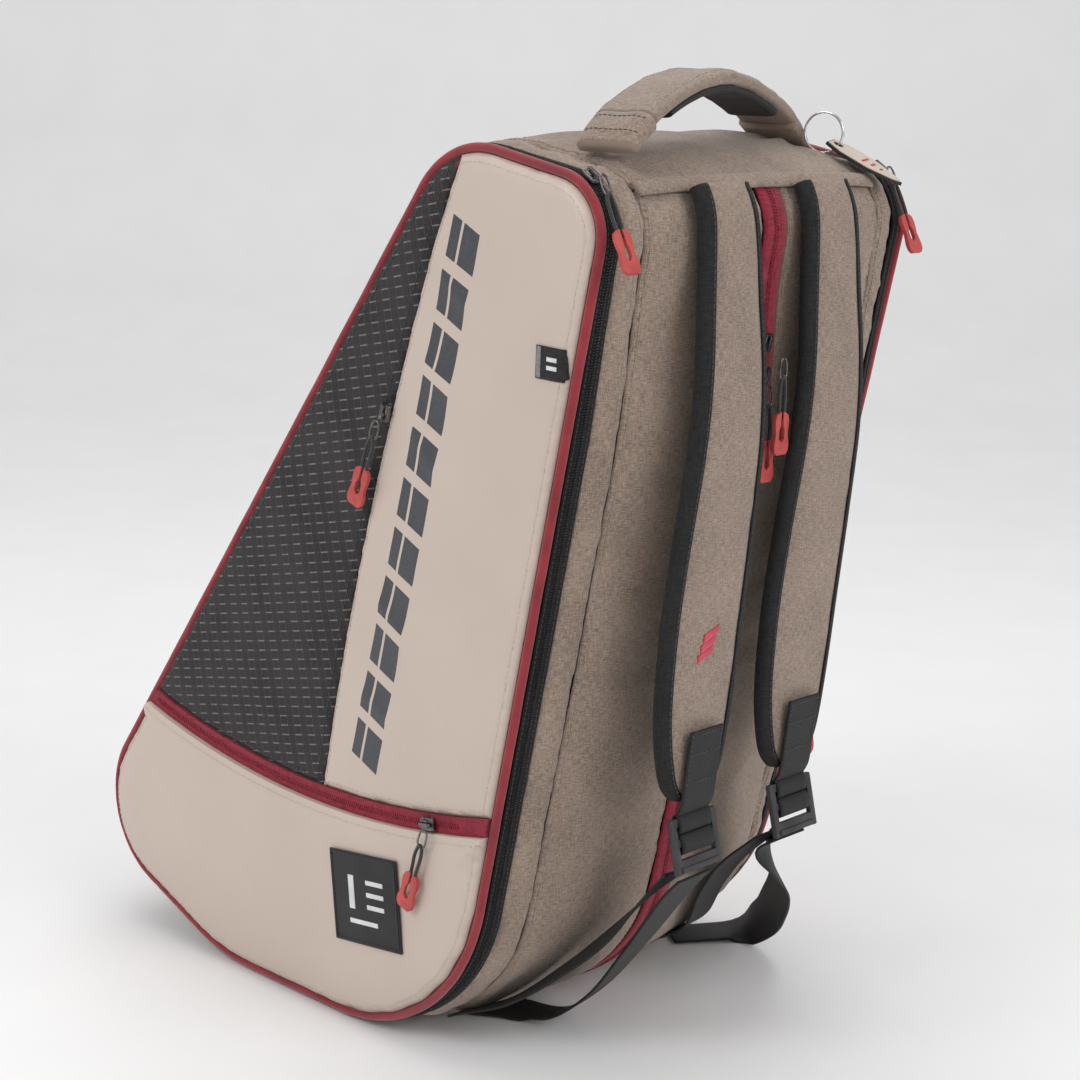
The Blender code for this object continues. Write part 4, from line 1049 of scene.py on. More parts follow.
def coated(name, dark, light, printed):
    """Satin coated cloth over foam, with a faint leathery grain, and a strip of printed bars if asked."""
    made, tree, shader = new_material(
        name, 0.42, Coat_Weight=0.12, Coat_Roughness=0.35, Specular_IOR_Level=0.45
    )
    place = own_place(tree)
    blotch = put(tree, "TexNoise", {"Vector": place, "Scale": 9.0, "Detail": 2.0})
    colour = ramp_of(tree, blotch, 0.2, 0.8, dark, light)
    grain = put(tree, "TexVoronoi", {"Vector": place, "Scale": 1400.0}, feature="SMOOTH_F1")
    fine = put(tree, "TexNoise", {"Vector": place, "Scale": 260.0, "Detail": 5.0})
    relief(tree, shader, grain, 0.12, 0.0002)
    relief(tree, shader, fine, 0.25, 0.0003)
    gloss = put(
        tree, "MapRange", {"Value": fine, "From Min": 0.3, "From Max": 0.7, "To Min": 0.36, "To Max": 0.50}
    )
    tree.links.new(gloss, shader.inputs["Roughness"])
    if printed:
        along = Vector((PRINT_TOP[0] - PRINT_FOOT[0], 0.0, PRINT_TOP[1] - PRINT_FOOT[1]))
        length = along.length
        split = put(tree, "SeparateXYZ", {"Vector": place}).node.outputs
        u = math_of(
            tree, "ADD", math_of(tree, "MULTIPLY", split["X"], along.x / length),
            math_of(tree, "MULTIPLY", split["Z"], along.z / length)
        )
        u = math_of(tree, "SUBTRACT", u, (PRINT_FOOT[0] * along.x + PRINT_FOOT[1] * along.z) / length)
        v = math_of(
            tree, "SUBTRACT", math_of(tree, "MULTIPLY", split["X"], along.z / length),
            math_of(tree, "MULTIPLY", split["Z"], along.x / length)
        )
        v = math_of(tree, "SUBTRACT", v, (PRINT_FOOT[0] * along.z - PRINT_FOOT[1] * along.x) / length)
        band = math_of(tree, "LESS_THAN", math_of(tree, "ABSOLUTE", v), PRINT_HALF)
        leaning = math_of(tree, "ADD", u, math_of(tree, "MULTIPLY", v, PRINT_LEAN))
        bars = math_of(
            tree, "LESS_THAN", math_of(tree, "FRACT", math_of(tree, "DIVIDE", leaning, PRINT_PITCH)),
            PRINT_SHARE
        )
        split_bar = math_of(
            tree, "GREATER_THAN", math_of(tree, "ABSOLUTE", math_of(tree, "ADD", v, 0.003)), 0.0010
        )
        ends = math_of(
            tree, "MULTIPLY", math_of(tree, "GREATER_THAN", leaning, 0.0),
            math_of(tree, "LESS_THAN", leaning, length // PRINT_PITCH * PRINT_PITCH)
        )
        mask = math_of(
            tree, "MULTIPLY", math_of(tree, "MULTIPLY", band, bars),
            math_of(tree, "MULTIPLY", ends, split_bar)
        )
        speck = put(tree, "TexNoise", {"Vector": place, "Scale": 900.0})
        ink = ramp_of(tree, speck, 0.3, 0.7, (0.040, 0.042, 0.050), (0.062, 0.065, 0.076))
        colour = ramp_of(tree, mask, 0.0, 1.0, colour, ink)
    tree.links.new(colour, shader.inputs["Base Color"])
    return made


def ripstop_cloth():
    """Charcoal ripstop: thicker yarns in a fine slanting grid, with a pale knot where they meet."""
    made, tree, shader = new_material("ripstop_cloth", 0.66, Sheen_Weight=0.03, Specular_IOR_Level=0.3)
    place = own_place(tree)
    split = put(tree, "SeparateXYZ", {"Vector": place}).node.outputs
    pitch = 0.0062

    def line(angle, width, gap):
        across = math_of(
            tree, "ADD", math_of(tree, "MULTIPLY", split["X"], math.cos(angle)),
            math_of(tree, "MULTIPLY", split["Z"], math.sin(angle))
        )
        share = math_of(
            tree, "FRACT", math_of(tree, "DIVIDE", math_of(tree, "ADD", across, 10.0 * gap), gap)
        )
        return math_of(
            tree, "LESS_THAN", math_of(tree, "ABSOLUTE", math_of(tree, "SUBTRACT", share, 0.5)),
            width / gap / 2
        )

    lean = math.radians(12)
    first, second = line(lean, 0.0005, pitch), line(lean + math.pi / 2, 0.0005, pitch)
    grid = math_of(tree, "MAXIMUM", first, second)
    dash = math_of(tree, "MULTIPLY", line(lean, 0.0062, 2 * pitch), line(lean + math.pi / 2, 0.0009, pitch))
    knots = math_of(
        tree, "MULTIPLY", dash, put(tree, "TexNoise", {"Vector": place, "Scale": 700.0, "Detail": 2.0})
    )
    cloud = put(tree, "TexNoise", {"Vector": place, "Scale": 30.0, "Detail": 4.0})
    ground = ramp_of(tree, cloud, 0.3, 0.75, (0.020, 0.018, 0.018), (0.036, 0.032, 0.032))
    lined = ramp_of(tree, grid, 0.0, 1.0, ground, (0.050, 0.045, 0.045))
    tree.links.new(ramp_of(tree, knots, 0.0, 0.8, lined, (0.24, 0.225, 0.22)), shader.inputs["Base Color"])
    weave = put(tree, "TexChecker", {"Vector": place, "Scale": 1800.0})
    relief(tree, shader, grid, 0.5, 0.00025)
    relief(tree, shader, weave, 0.15, 0.0001)
    return made


cream_printed = coated("printed_cream", (0.53, 0.435, 0.372), (0.58, 0.483, 0.418), True)
cream_plain = coated("plain_cream", (0.53, 0.435, 0.372), (0.58, 0.483, 0.418), False)
ripstop = ripstop_cloth()


def soft_height(foot, top, reach, swell, fold, seed):
    """The face of a foam-filled panel: rolled edges, a slow swell, and slanting folds pressed into it."""
    def height(distance, x, z):
        inner = min(1.0, distance / 0.03)
        rise = swell * (1 - math.exp(-distance / 0.05))
        slanted = Vector((x * 0.8 + z * 0.6, seed, (z * 0.8 - x * 0.6) * 0.35))
        rise += fold * inner * (crease(slanted, 0.055) - 0.3)
        rise += 0.35 * fold * inner * noise.noise(Vector((x, seed, z)) / 0.022)
        rise += 0.0007 * math.exp(-distance / 0.008) * noise.noise(Vector((x / 0.006, seed, z / 0.006)))
        return rolled(distance, foot, top, reach) + rise
    return height


def panel_stitches(obj, loop, side, inset, finish, body, slot, size=STITCH, spacing=STITCH_SPACING):
    """A row of thread just inside a panel's edge."""
    count = len(loop)
    inner = []
    for k in range(count):
        along = loop[(k + 1) % count] - loop[k - 1]
        along = along / max(1e-9, math.hypot(*along))
        inner.append(loop[k] + np.array((-along[1], along[0])) * inset)
    inner = np.array(inner)
    away, inside = distance_to(loop, inner)
    if inside.mean() < 0.5:
        inner = 2 * loop - inner
        away, inside = distance_to(loop, inner)
    kept = inner[inside & (away > inset * 0.8)]
    kept = np.vstack([kept, kept[:1]])
    points = [Vector((x, side * 0.15, z)) for x, z in kept]
    run = laid_on(surface_of(obj), points, 0.0002, [Vector((0.0, side, 0.0))] * len(points))
    broken = [[]]
    for here in run:
        if broken[-1] and (here[0] - broken[-1][-1][0]).length > 0.02:
            broken.append([])
        broken[-1].append(here)
    lay_row(
        obj.name + "_stitches", [part for part in broken if len(part) > 2], bead_row, spacing, size, finish,
        body, slot
    )


cream_thread = thread_of("cream_thread", (0.42, 0.35, 0.30), (0.72, 0.62, 0.55))
faces = {}
for name, side in SIDES.items():
    body = f"{name}_door"
    finish = cream_printed if side < 0 else cream_plain
    loop = rounded_loop(solid_outline(f"cream_panel_{name}", side))
    cream = panel_piece(
        f"cream_{name}", loop, side, DOOR_FACE - 0.001,
        soft_height(0.1440, 0.1478, 0.010, 0.0018, 0.0020, 1.7), finish
    )
    fit(cream, body, "cream_skin", f"cream_panel_{name}")
    panel_stitches(cream, loop, side, 0.0045, cream_thread, body, "cream_skin")
    loop = rounded_loop(solid_outline(f"ripstop_panel_{name}", side))
    rip = panel_piece(
        f"ripstop_{name}", loop, side, DOOR_FACE - 0.001,
        soft_height(0.1440, 0.1464, 0.012, 0.0014, 0.0020, 5.1), ripstop
    )
    fit(rip, body, "ripstop", f"ripstop_panel_{name}")
    panel_stitches(rip, loop, side, 0.0045, black_thread, body, "ripstop")
    loop = rounded_loop(solid_outline(f"lower_pocket_{name}", side))

    def pocket_height(distance, x, z, plain=soft_height(0.1442, 0.1519, 0.034, 0.0, 0.0009, 9.3)):
        mouth = mouth_height(x) - z
        edge = min(1.0, max(0.0, mouth) / 0.012)
        return max(
            plain(distance, x, z), 0.1462 + 0.0055 * math.sqrt(edge)
        ) if distance > mouth - 0.012 and mouth < 0.03 else plain(distance, x, z)

    pocket = panel_piece(f"pocket_{name}", loop, side, DOOR_FACE - 0.001, pocket_height, cream_plain)
    fit(pocket, body, "cream_skin", f"lower_pocket_{name}")
    panel_stitches(pocket, loop, side, 0.0045, cream_thread, body, "cream_skin")
    loop = rounded_loop(solid_outline(f"pocket_zip_{name}", side))
    tape = panel_piece(
        f"pocket_tape_{name}", loop, side, DOOR_FACE - 0.001, lambda d, x, z: 0.1465, red_tape, 0.003
    )
    fit(tape, body, "red_tape", f"pocket_zip_{name}")
    board = rounded_loop(solid_outline(f"door_{name}", side), 0.006)
    quilt = panel_piece(
        f"door_lining_{name}", board, -side, -(DOOR_FACE - 0.0003), lambda d, x,
        z: -0.1405 + 0.0022 * min(1.0, d / 0.02), lining, 0.006
    )
    fit(quilt, body, "lining", f"door_{name}")
    pad = rounded_loop(solid_outline(f"divider_{name}", side), 0.006)
    quilted = panel_piece(
        f"divider_pad_{name}", pad, side, 0.0862, lambda d, x, z: rolled(d, 0.0872, 0.0900, 0.012), lining,
        0.006
    )
    fit(quilted, "shell", "lining", f"divider_{name}")
    xs = np.linspace(-0.170, 0.127, 110)
    for row, (raised, spacing) in enumerate(((0.0010, 0.0019), (-0.0010, 0.0019))):
        run = []
        for x in xs + row * spacing / 2:
            z = mouth_height(x, raised)
            run.append((Vector((x, side * 0.1469, z)), Vector((0.0, side, 0.0))))
        lay_row(
            f"pocket_teeth_{row}_{name}", [run], tooth_row, spacing, (0.0006, 0.0013, 0.0008), red_teeth,
            body, "red_tape"
        )
    faces[name] = surface_of(cream, rip, pocket, tape)

# Labels on the near door: a moulded rubber patch with a raised rim on the pocket, and a woven
# tab caught in the strap-side seam. Both carry only a plain mark of rounded bars.


def moulded(name, dark, light, roughness, grain=0.0002):
    """Moulded rubber or plastic with a fine eggshell grain and slightly rubbed patches."""
    made, tree, shader = new_material(name, roughness, Specular_IOR_Level=0.4)
    place = own_place(tree)
    rubbed = put(tree, "TexNoise", {"Vector": place, "Scale": 70.0, "Detail": 4.0})
    tree.links.new(ramp_of(tree, rubbed, 0.35, 0.75, dark, light), shader.inputs["Base Color"])
    egg = put(tree, "TexNoise", {"Vector": place, "Scale": 1100.0, "Detail": 2.0})
    relief(tree, shader, egg, 0.3, grain)
    gloss = put(
        tree, "MapRange",
        {
            "Value": rubbed, "From Min": 0.3, "From Max": 0.7, "To Min": roughness - 0.06,
            "To Max": roughness + 0.08
        }
    )
    tree.links.new(gloss, shader.inputs["Roughness"])
    return made


patch_rubber = moulded("patch_rubber", (0.014, 0.014, 0.015), (0.030, 0.030, 0.031), 0.55)
mark_white = moulded("mark_white", (0.62, 0.62, 0.63), (0.78, 0.78, 0.79), 0.55)


def block(shape, centre, size, turn=0.0, bevel=0.0):
    """Adds a box with rounded edges to a bmesh."""
    made = bmesh.ops.create_cube(shape, size=1.0)["verts"]
    bmesh.ops.scale(shape, vec=size, verts=made)
    if bevel:
        edges = list({edge for vertex in made for edge in vertex.link_edges})
        found = bmesh.ops.bevel(shape, geom=edges, offset=bevel, segments=2, profile=0.6, affect="EDGES")
        made = list(
            {vertex for face in found["faces"] for vertex in face.verts} | {v for v in made if v.is_valid}
        )
    bmesh.ops.rotate(shape, verts=made, cent=(0, 0, 0), matrix=Matrix.Rotation(turn, 3, "Z"))
    bmesh.ops.translate(shape, vec=centre, verts=made)
    return made


def placed(name, shape, matrix, finish, smooth=35):
    """A piece from a bmesh made at the origin, with its place put into its mesh."""
    bmesh.ops.transform(shape, matrix=matrix, verts=shape.verts)
    mesh = bpy.data.meshes.new(name)
    shape.to_mesh(mesh)
    shape.free()
    mesh.materials.append(finish)
    mesh.shade_smooth()
    mesh.set_sharp_from_angle(angle=math.radians(smooth))
    obj = bpy.data.objects.new(name, mesh)
    bpy.context.scene.collection.objects.link(obj)
    return obj


def frame_at(place, across, out):
    """A matrix with its X across, its Z out of the surface and its Y along it."""
    across, out = Vector(across).normalized(), Vector(out).normalized()
    along = out.cross(across).normalized()
    return Matrix.Translation(place) @ Matrix((along.cross(out), along, out)).transposed().to_4x4()


PATCH_PLACE, PATCH_TURN, PATCH_SIZE = (0.053, -0.1526, 0.092), math.radians(7), (0.062, 0.060)
patch_frame = frame_at(PATCH_PLACE, (math.cos(PATCH_TURN), 0.0, math.sin(PATCH_TURN)), (0.0, -1.0, 0.0))
shape = bmesh.new()
block(shape, (0, 0, 0.0007), (PATCH_SIZE[0], PATCH_SIZE[1], 0.0016), bevel=0.0005)
for across, along, wide, tall in (
    (0, 0.0285, 0.059, 0.0011), (0, -0.0285, 0.059, 0.0011), (0.0295, 0, 0.0011, 0.0572),
    (-0.0295, 0, 0.0011, 0.0572)
):
    block(shape, (across, along, 0.0017), (wide, tall, 0.0006), bevel=0.0002)
fit(placed("rubber_patch_body", shape, patch_frame, patch_rubber), "near_door", "rubber", "rubber_patch")
shape = bmesh.new()
for across, along, wide, tall in (
    (0.010, 0.012, 0.016, 0.003), (0.010, 0.004, 0.016, 0.003), (0.010, -0.004, 0.016, 0.003),
    (-0.012, 0.004, 0.005, 0.022), (-0.002, -0.015, 0.026, 0.003)
):
    block(shape, (across, along, 0.0016), (wide, tall, 0.0007), bevel=0.0003)
fit(placed("patch_mark", shape, patch_frame, mark_white), "near_door", "rubber")
panel_edge = np.array(
    [
        (x, z) for x,
        z in (
            (-0.0288, -0.0278), (0.0288, -0.0278), (0.0288, 0.0278), (-0.0288, 0.0278), (-0.0288, -0.0278)
        )
    ]
)
sewn_run = []
for (ax, az), (bx, bz) in zip(panel_edge, panel_edge[1:]):
    sewn_run.append(
        [
            (
                patch_frame @ Vector((ax + (bx - ax) * t * 0.95, az + (bz - az) * t * 0.95, 0.0016)),
                Vector((0, -1, 0))
            )
            for t in np.linspace(0.05, 1, 12)
        ]
    )
lay_row(
    "patch_stitches", sewn_run, bead_row, 0.0028, (0.0020, 0.0006, 0.0006), black_thread, "near_door",
    "rubber"
)

tab_tape = woven(
    "tab_tape", (0.010, 0.010, 0.011), (0.028, 0.028, 0.029), 0.7, 0.0008, 0.0002, 1.5, sheen=0.1
)
grey_tape = woven("grey_tape", (0.15, 0.15, 0.16), (0.26, 0.26, 0.27), 0.7, 0.0008, 0.0002, 1.5, sheen=0.1)
TAB_PLACE = Vector((0.197, -0.15, 0.449))


def draped_patch(name, left, right, low, high, lift, finish):
    """A small woven piece that follows the near door's face."""
    rows = []
    for z in np.linspace(low, high, 9):
        points = [TAB_PLACE + Vector((x, 0.0, z - 0.05 * x)) for x in np.linspace(left, right, 11)]
        rows.append([place for place, _ in laid_on(faces["near"], points, lift, [Vector((0, -1, 0))] * 11)])
    obj = cloth_grid(name, rows, high - low, left, right, finish)
    face_away(obj, CENTRE)
    give_wall(obj, 0.0006)
    return obj


fit(
    draped_patch("side_tab_cloth", -0.012, 0.0092, -0.0093, 0.0093, 0.0009, tab_tape), "near_door",
    "black_tape", "side_tab"
)
fit(
    draped_patch("side_tab_strip", -0.0115, -0.0085, -0.0088, 0.0088, 0.0011, grey_tape), "near_door",
    "black_tape"
)
white_tape = woven(
    "white_tape", (0.55, 0.55, 0.56), (0.78, 0.78, 0.80), 0.7, 0.0008, 0.0002, 1.5, sheen=0.1
)
for row, (low, high) in enumerate(((0.0012, 0.0036), (-0.0036, -0.0012))):
    fit(
        draped_patch(f"side_tab_bar_{row}", -0.004, 0.003, low, high, 0.0012, white_tape), "near_door",
        "black_tape"
    )

# Sliders and pulls: a die-cast nickel slider with a wire bail, and through the bail a doubled
# braided cord whose ends are moulded into a waisted rubber grip with a slot through it.


def plated(name, dark, light, roughness):
    """Dark plated zinc: clouded, with fine scratches."""
    made, tree, shader = new_material(name, roughness, Metallic=1.0)
    place = own_place(tree)
    cloud = put(tree, "TexNoise", {"Vector": place, "Scale": 300.0, "Detail": 3.0})
    tree.links.new(ramp_of(tree, cloud, 0.3, 0.7, dark, light), shader.inputs["Base Color"])
    scratch = put(
        tree, "TexNoise",
        {
            "Vector": put(tree, "Mapping", {"Vector": place, "Scale": (1.0, 1.0, 9.0)}), "Scale": 500.0,
            "Detail": 2.0
        }
    )
    relief(tree, shader, scratch, 0.15, 0.0001)
    gloss = put(
        tree, "MapRange",
        {
            "Value": scratch, "From Min": 0.3, "From Max": 0.7, "To Min": roughness - 0.08,
            "To Max": roughness + 0.10
        }
    )
    tree.links.new(gloss, shader.inputs["Roughness"])
    return made


def braided(name, dark, light):
    """Round braided cord: strands crossing both ways, with lighter flecks."""
    made, tree, shader = new_material(name, 0.7, Sheen_Weight=0.3)
    cloth = put(tree, "UVMap", uv_map="cloth")
    strands = []
    for turn in (0.9, -0.9):
        run = put(tree, "Mapping", {"Vector": cloth, "Rotation": (0.0, 0.0, turn)})
        strands.append(put(tree, "TexWave", {"Vector": run, "Scale": 0.314 / 0.0011}))
    tone = math_of(tree, "MULTIPLY", strands[0], strands[1])
    tree.links.new(ramp_of(tree, tone, 0.2, 0.9, dark, light), shader.inputs["Base Color"])
    relief(tree, shader, tone, 0.7, 0.0003)
    return made


nickel = plated("nickel", (0.09, 0.085, 0.085), (0.24, 0.23, 0.225), 0.30)
pull_cord = braided("pull_cord", (0.010, 0.010, 0.011), (0.060, 0.058, 0.060))
grip_rubber = moulded("grip_rubber", (0.42, 0.055, 0.050), (0.54, 0.090, 0.080), 0.5)


def solid_points(node):
    mesh = frame["nodes"][node].data
    return np.array([tuple(vertex.co) for vertex in mesh.vertices])


def main_ways(points):
    """A flat solid's middle, and its long, middle and short ways."""
    low, high = points.min(0), points.max(0)
    middle = points.mean(0)
    ways = np.linalg.svd(np.unique(np.round(points - middle, 6), axis=0), full_matrices=False)[2]
    return Vector((low + high) / 2), [Vector(way) for way in ways]


joints = {joint["name"]: joint for joint in frame["joints"]}


def make_slider(name):
    """One slider and its pull, on the two bodies that carry them."""
    middle, (along, across, out) = main_ways(solid_points(f"{name}_slider"))
    pull_points = solid_points(f"{name}_pull")
    start = Vector(joints[f"{name}_pull_lift"]["pos_m"])
    if out.dot(middle - Vector((0.04, 0.0, 0.28))) < 0:
        out = -out
    if along.dot(start - middle) < 0:
        along = -along
    place = frame_at(middle, out.cross(along) * -1, out)
    if (place.to_3x3() @ Vector((0, 1, 0))).dot(along) < 0:
        place = frame_at(middle, out.cross(along), out)
    shape = bmesh.new()
    block(shape, (0, 0.0, -0.0012), (0.0082, 0.0108, 0.0022), bevel=0.0007)
    block(shape, (0, -0.0022, -0.0002), (0.0060, 0.0060, 0.0016), bevel=0.0005)
    block(shape, (0, 0.0044, -0.0008), (0.0048, 0.0026, 0.0022), bevel=0.0007)
    block(shape, (0, 0.0040, 0.0010), (0.0022, 0.0018, 0.0020), bevel=0.0004)
    block(shape, (0, -0.0042, 0.0010), (0.0022, 0.0018, 0.0020), bevel=0.0004)
    block(shape, (0, 0.0, 0.0020), (0.0022, 0.0100, 0.0009), bevel=0.0003)
    fit(
        placed(f"{name}_slider_body", shape, place, nickel), f"{name}_slide", "dark_metal", f"{name}_slider"
    )

    down = (Vector(pull_points.mean(0)) - start).normalized()
    _, ways = main_ways(pull_points)
    flat = ways[2] if ways[2].dot(out) > 0 else -ways[2]
    matrix = frame_at(start, flat.cross(down), flat)
    if (matrix.to_3x3() @ Vector((0, 1, 0))).dot(down) < 0:
        matrix = frame_at(start, -flat.cross(down), flat)
    wire = [
        (-0.0030, 0.0105, 0.0), (-0.0031, 0.0050, 0.0), (-0.0022, 0.0012, 0.0), (0.0, 0.0002, 0.0),
        (0.0022, 0.0012, 0.0), (0.0031, 0.0050, 0.0), (0.0030, 0.0105, 0.0), (0.0, 0.0120, 0.0)
    ]
    run, length = smooth_run(wire, 0.0010, closed=True)
    bail = sweep_piece(
        f"{name}_bail", cord_rings([matrix @ Vector(p) for p in run], 0.00065, 8, closed=True), length,
        nickel, closed=True
    )
    fit(bail, f"{name}_tab", "dark_metal")
    cord = [
        (-0.0020, 0.0365, 0.0), (-0.0024, 0.028, 0.0002), (-0.0026, 0.020, 0.0), (-0.0018, 0.0135, 0.0),
        (0.0, 0.0108, 0.0004), (0.0018, 0.0135, 0.0), (0.0027, 0.020, 0.0), (0.0023, 0.028, -0.0002),
        (0.0020, 0.0365, 0.0)
    ]
    run, length = smooth_run(cord, 0.0010)
    loop = sweep_piece(
        f"{name}_cord", cord_rings([matrix @ Vector(p) for p in run], 0.00115, 8), length, pull_cord
    )
    fit(loop, f"{name}_tab", "red_rubber")
    edge = [
        (0.0034, 0.0325), (0.0056, 0.0340), (0.0066, 0.0375), (0.0062, 0.0415), (0.0056, 0.0450),
        (0.0064, 0.0490), (0.0070, 0.0520), (0.0066, 0.0555), (0.0044, 0.0578)
    ]
    right = [Vector((x, y)) for x, y in edge]
    slot = [
        Vector(p)
        for p in (
            (-0.0011, 0.0318), (-0.0011, 0.0400), (-0.0024, 0.0430), (-0.0024, 0.0480), (0.0, 0.0505),
            (0.0024, 0.0480), (0.0024, 0.0430), (0.0011, 0.0400), (0.0011, 0.0318)
        )
    ]
    outline = slot[::-1] + [Vector((-0.0034, 0.0325))] + [
        Vector((-p.x, p.y)) for p in right[1:]
    ] + right[::-1][:-1] + [Vector((0.0034, 0.0325))]
    mesh = bpy.data.meshes.new(f"{name}_grip")
    mesh.from_pydata([(p.x, p.y, -0.0014) for p in outline], [], [tuple(range(len(outline)))])
    shape = bmesh.new()
    shape.from_mesh(mesh)
    bpy.data.meshes.remove(mesh)
    raised = bmesh.ops.extrude_face_region(shape, geom=list(shape.faces))["geom"]
    bmesh.ops.translate(
        shape, vec=(0, 0, 0.0028), verts=[item for item in raised if isinstance(item, bmesh.types.BMVert)]
    )
    bmesh.ops.recalc_face_normals(shape, faces=shape.faces)
    rim = [edge for edge in shape.edges if len(edge.link_faces) == 2 and edge.calc_face_angle() > 1.0]
    bmesh.ops.bevel(
        shape, geom=rim, offset=0.0005, segments=2, profile=0.6, affect="EDGES", clamp_overlap=True
    )
    block(shape, (0, 0.0540, 0.0014), (0.0040, 0.0008, 0.0004), turn=0.0)
    fit(placed(f"{name}_grip", shape, matrix, grip_rubber), f"{name}_tab", "red_rubber", f"{name}_pull")


for slider in (
    "top_near", "top_far", "low_far", "centre_upper", "centre_lower", "flap_near", "pocket_near",
    "pocket_far"
):
    make_slider(slider)

# Carry handle: a folded heather strap padded with foam, with a soft air-mesh pad under the
# palm. Its ends are box-stitched into the top, and the strap between them stands in an arch.

HANDLE_NEAR, HANDLE_FAR = Vector((0.199, -0.114, 0.0)), Vector((0.153, 0.108, 0.0))
HANDLE_RISE, HANDLE_POWER, HANDLE_HALF, HANDLE_WALL = 0.036, 1.9, 0.0195, 0.0095
handle_middle = (HANDLE_NEAR + HANDLE_FAR) / 2
handle_reach = (HANDLE_FAR - HANDLE_NEAR).length / 2
handle_along = (HANDLE_FAR - HANDLE_NEAR).normalized()
handle_across = Vector((handle_along.y, -handle_along.x, 0.0))
HANDLE_SHARE = 0.80


def handle_line(share):
    """Middle of the handle there, and the way that its outer face looks."""
    rise = HANDLE_RISE * (1 - abs(share) ** HANDLE_POWER)
    slope = -math.copysign(
        HANDLE_RISE * HANDLE_POWER * abs(share) ** (HANDLE_POWER - 1) / handle_reach, share
    )
    point = handle_middle + handle_along * (share * handle_reach)
    along = (handle_along + Vector((0.0, 0.0, slope))).normalized()
    return Vector((point.x, point.y, HANDLE_BASE + rise)), handle_across.cross(along) * -1.0


top_of_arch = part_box("carry_handle")[1][2]
HANDLE_BASE = top_of_arch - HANDLE_RISE - HANDLE_WALL / 2


def handle_rings(first, last, half, low, high, crown):
    """Rings of a padded strap along the arch, with a crowned face, flattened where it is sewn down."""
    rings = []
    full = high
    for share in np.linspace(first, last, max(6, round(abs(last - first) * 60))):
        middle, out = handle_line(share)
        if out.z < 0:
            out = -out
        slack = 0.0005 * noise.noise(Vector((share * 9, 1.0, 0.0)))
        sewn = min(1.0, max(0.0, (abs(share) - 0.82) / 0.16))
        high = full - 0.0052 * sewn * sewn
        ring = []
        for turn in np.linspace(0, 2 * math.pi, 36, endpoint=False):
            c, s = math.cos(turn), math.sin(turn)
            across = half * math.copysign(abs(c) ** 0.35, c)
            up = (low + high) / 2 + (high - low) / 2 * math.copysign(abs(s) ** 0.6, s)
            if s > 0:
                up += crown * (1 - (across / half) ** 2) - 0.0012 * math.exp(-((across / 0.0018) ** 2))
                up += 0.0008 * crease((share * 2.4, across * 10, 0.3), 0.5)
            ring.append(middle + handle_across * across + out * (up + slack))
        rings.append(ring)
    return rings


gap = 0.0005 / handle_reach
arch = sweep_piece(
    "handle_strap",
    handle_rings(-HANDLE_SHARE + gap, HANDLE_SHARE - gap, HANDLE_HALF, -0.0042, 0.0040, 0.0016), 0.2,
    heather
)
fit(arch, "handle", "tan_cloth", "carry_handle")
for name, side in SIDES.items():
    rings = handle_rings(side * 0.99, side * (HANDLE_SHARE + gap), HANDLE_HALF, -0.0075, 0.0040, 0.0016)
    foot_piece = sweep_piece(f"handle_end_{name}", rings, 0.03, heather)
    fit(foot_piece, "shell", "tan_cloth", f"handle_foot_{name}")


def air_mesh(name):
    """Knitted spacer mesh: black, with a close honeycomb of open cells."""
    made, tree, shader = new_material(name, 0.9, Sheen_Weight=0.05)
    cells = put(
        tree, "TexVoronoi",
        {"Vector": put(tree, "UVMap", uv_map="cloth"), "Scale": 420.0, "Randomness": 0.12}
    )
    tree.links.new(
        ramp_of(tree, cells, 0.15, 0.5, (0.003, 0.003, 0.004), (0.028, 0.028, 0.030)),
        shader.inputs["Base Color"]
    )
    relief(tree, shader, cells, 0.9, 0.0008)
    return made


mesh_cloth = air_mesh("air_mesh")
palm = sweep_piece("palm_pad", handle_rings(-0.62, 0.62, 0.0172, -0.0088, -0.0032, 0.0), 0.15, mesh_cloth)
fit(palm, "handle", "mesh_cloth", "handle_pad")
arch_skin = surface_of(arch)
rows = []
for side in (-1, 1):
    for first, last in ((-HANDLE_SHARE + 0.02, HANDLE_SHARE - 0.02),):
        points, outs = [], []
        for share in np.linspace(first, last, 70):
            middle, out = handle_line(share)
            out = out if out.z > 0 else -out
            points.append(middle + handle_across * side * (HANDLE_HALF - 0.0042) + out * 0.005)
            outs.append(out)
        rows.append(laid_on(arch_skin, points, 0.0001, outs))
lay_row("handle_stitches", rows, bead_row, STITCH_SPACING, STITCH, tan_thread, "handle", "tan_cloth")
rows = []
for side in (-1, 1):
    for share in (0.84, 0.93):
        points, outs = [], []
        for across in np.linspace(-HANDLE_HALF + 0.004, HANDLE_HALF - 0.004, 12):
            middle, out = handle_line(side * share)
            out = out if out.z > 0 else -out
            points.append(middle + handle_across * across + out * 0.005)
            outs.append(out)
        ends = surface_of(*[obj for obj in bpy.data.objects if obj.name.startswith("handle_end")])
        rows.append(laid_on(ends, points, 0.0002, outs))
lay_row(
    "handle_end_stitches", rows, bead_row, 0.0030, (0.0024, 0.0008, 0.0007), black_thread, "shell",
    "tan_cloth"
)

# Shoulder straps: foam under heather cloth, wide at the shoulder blade and narrow at both ends,
# with an air-mesh back. Black tape is bound round the whole edge and stitched through.

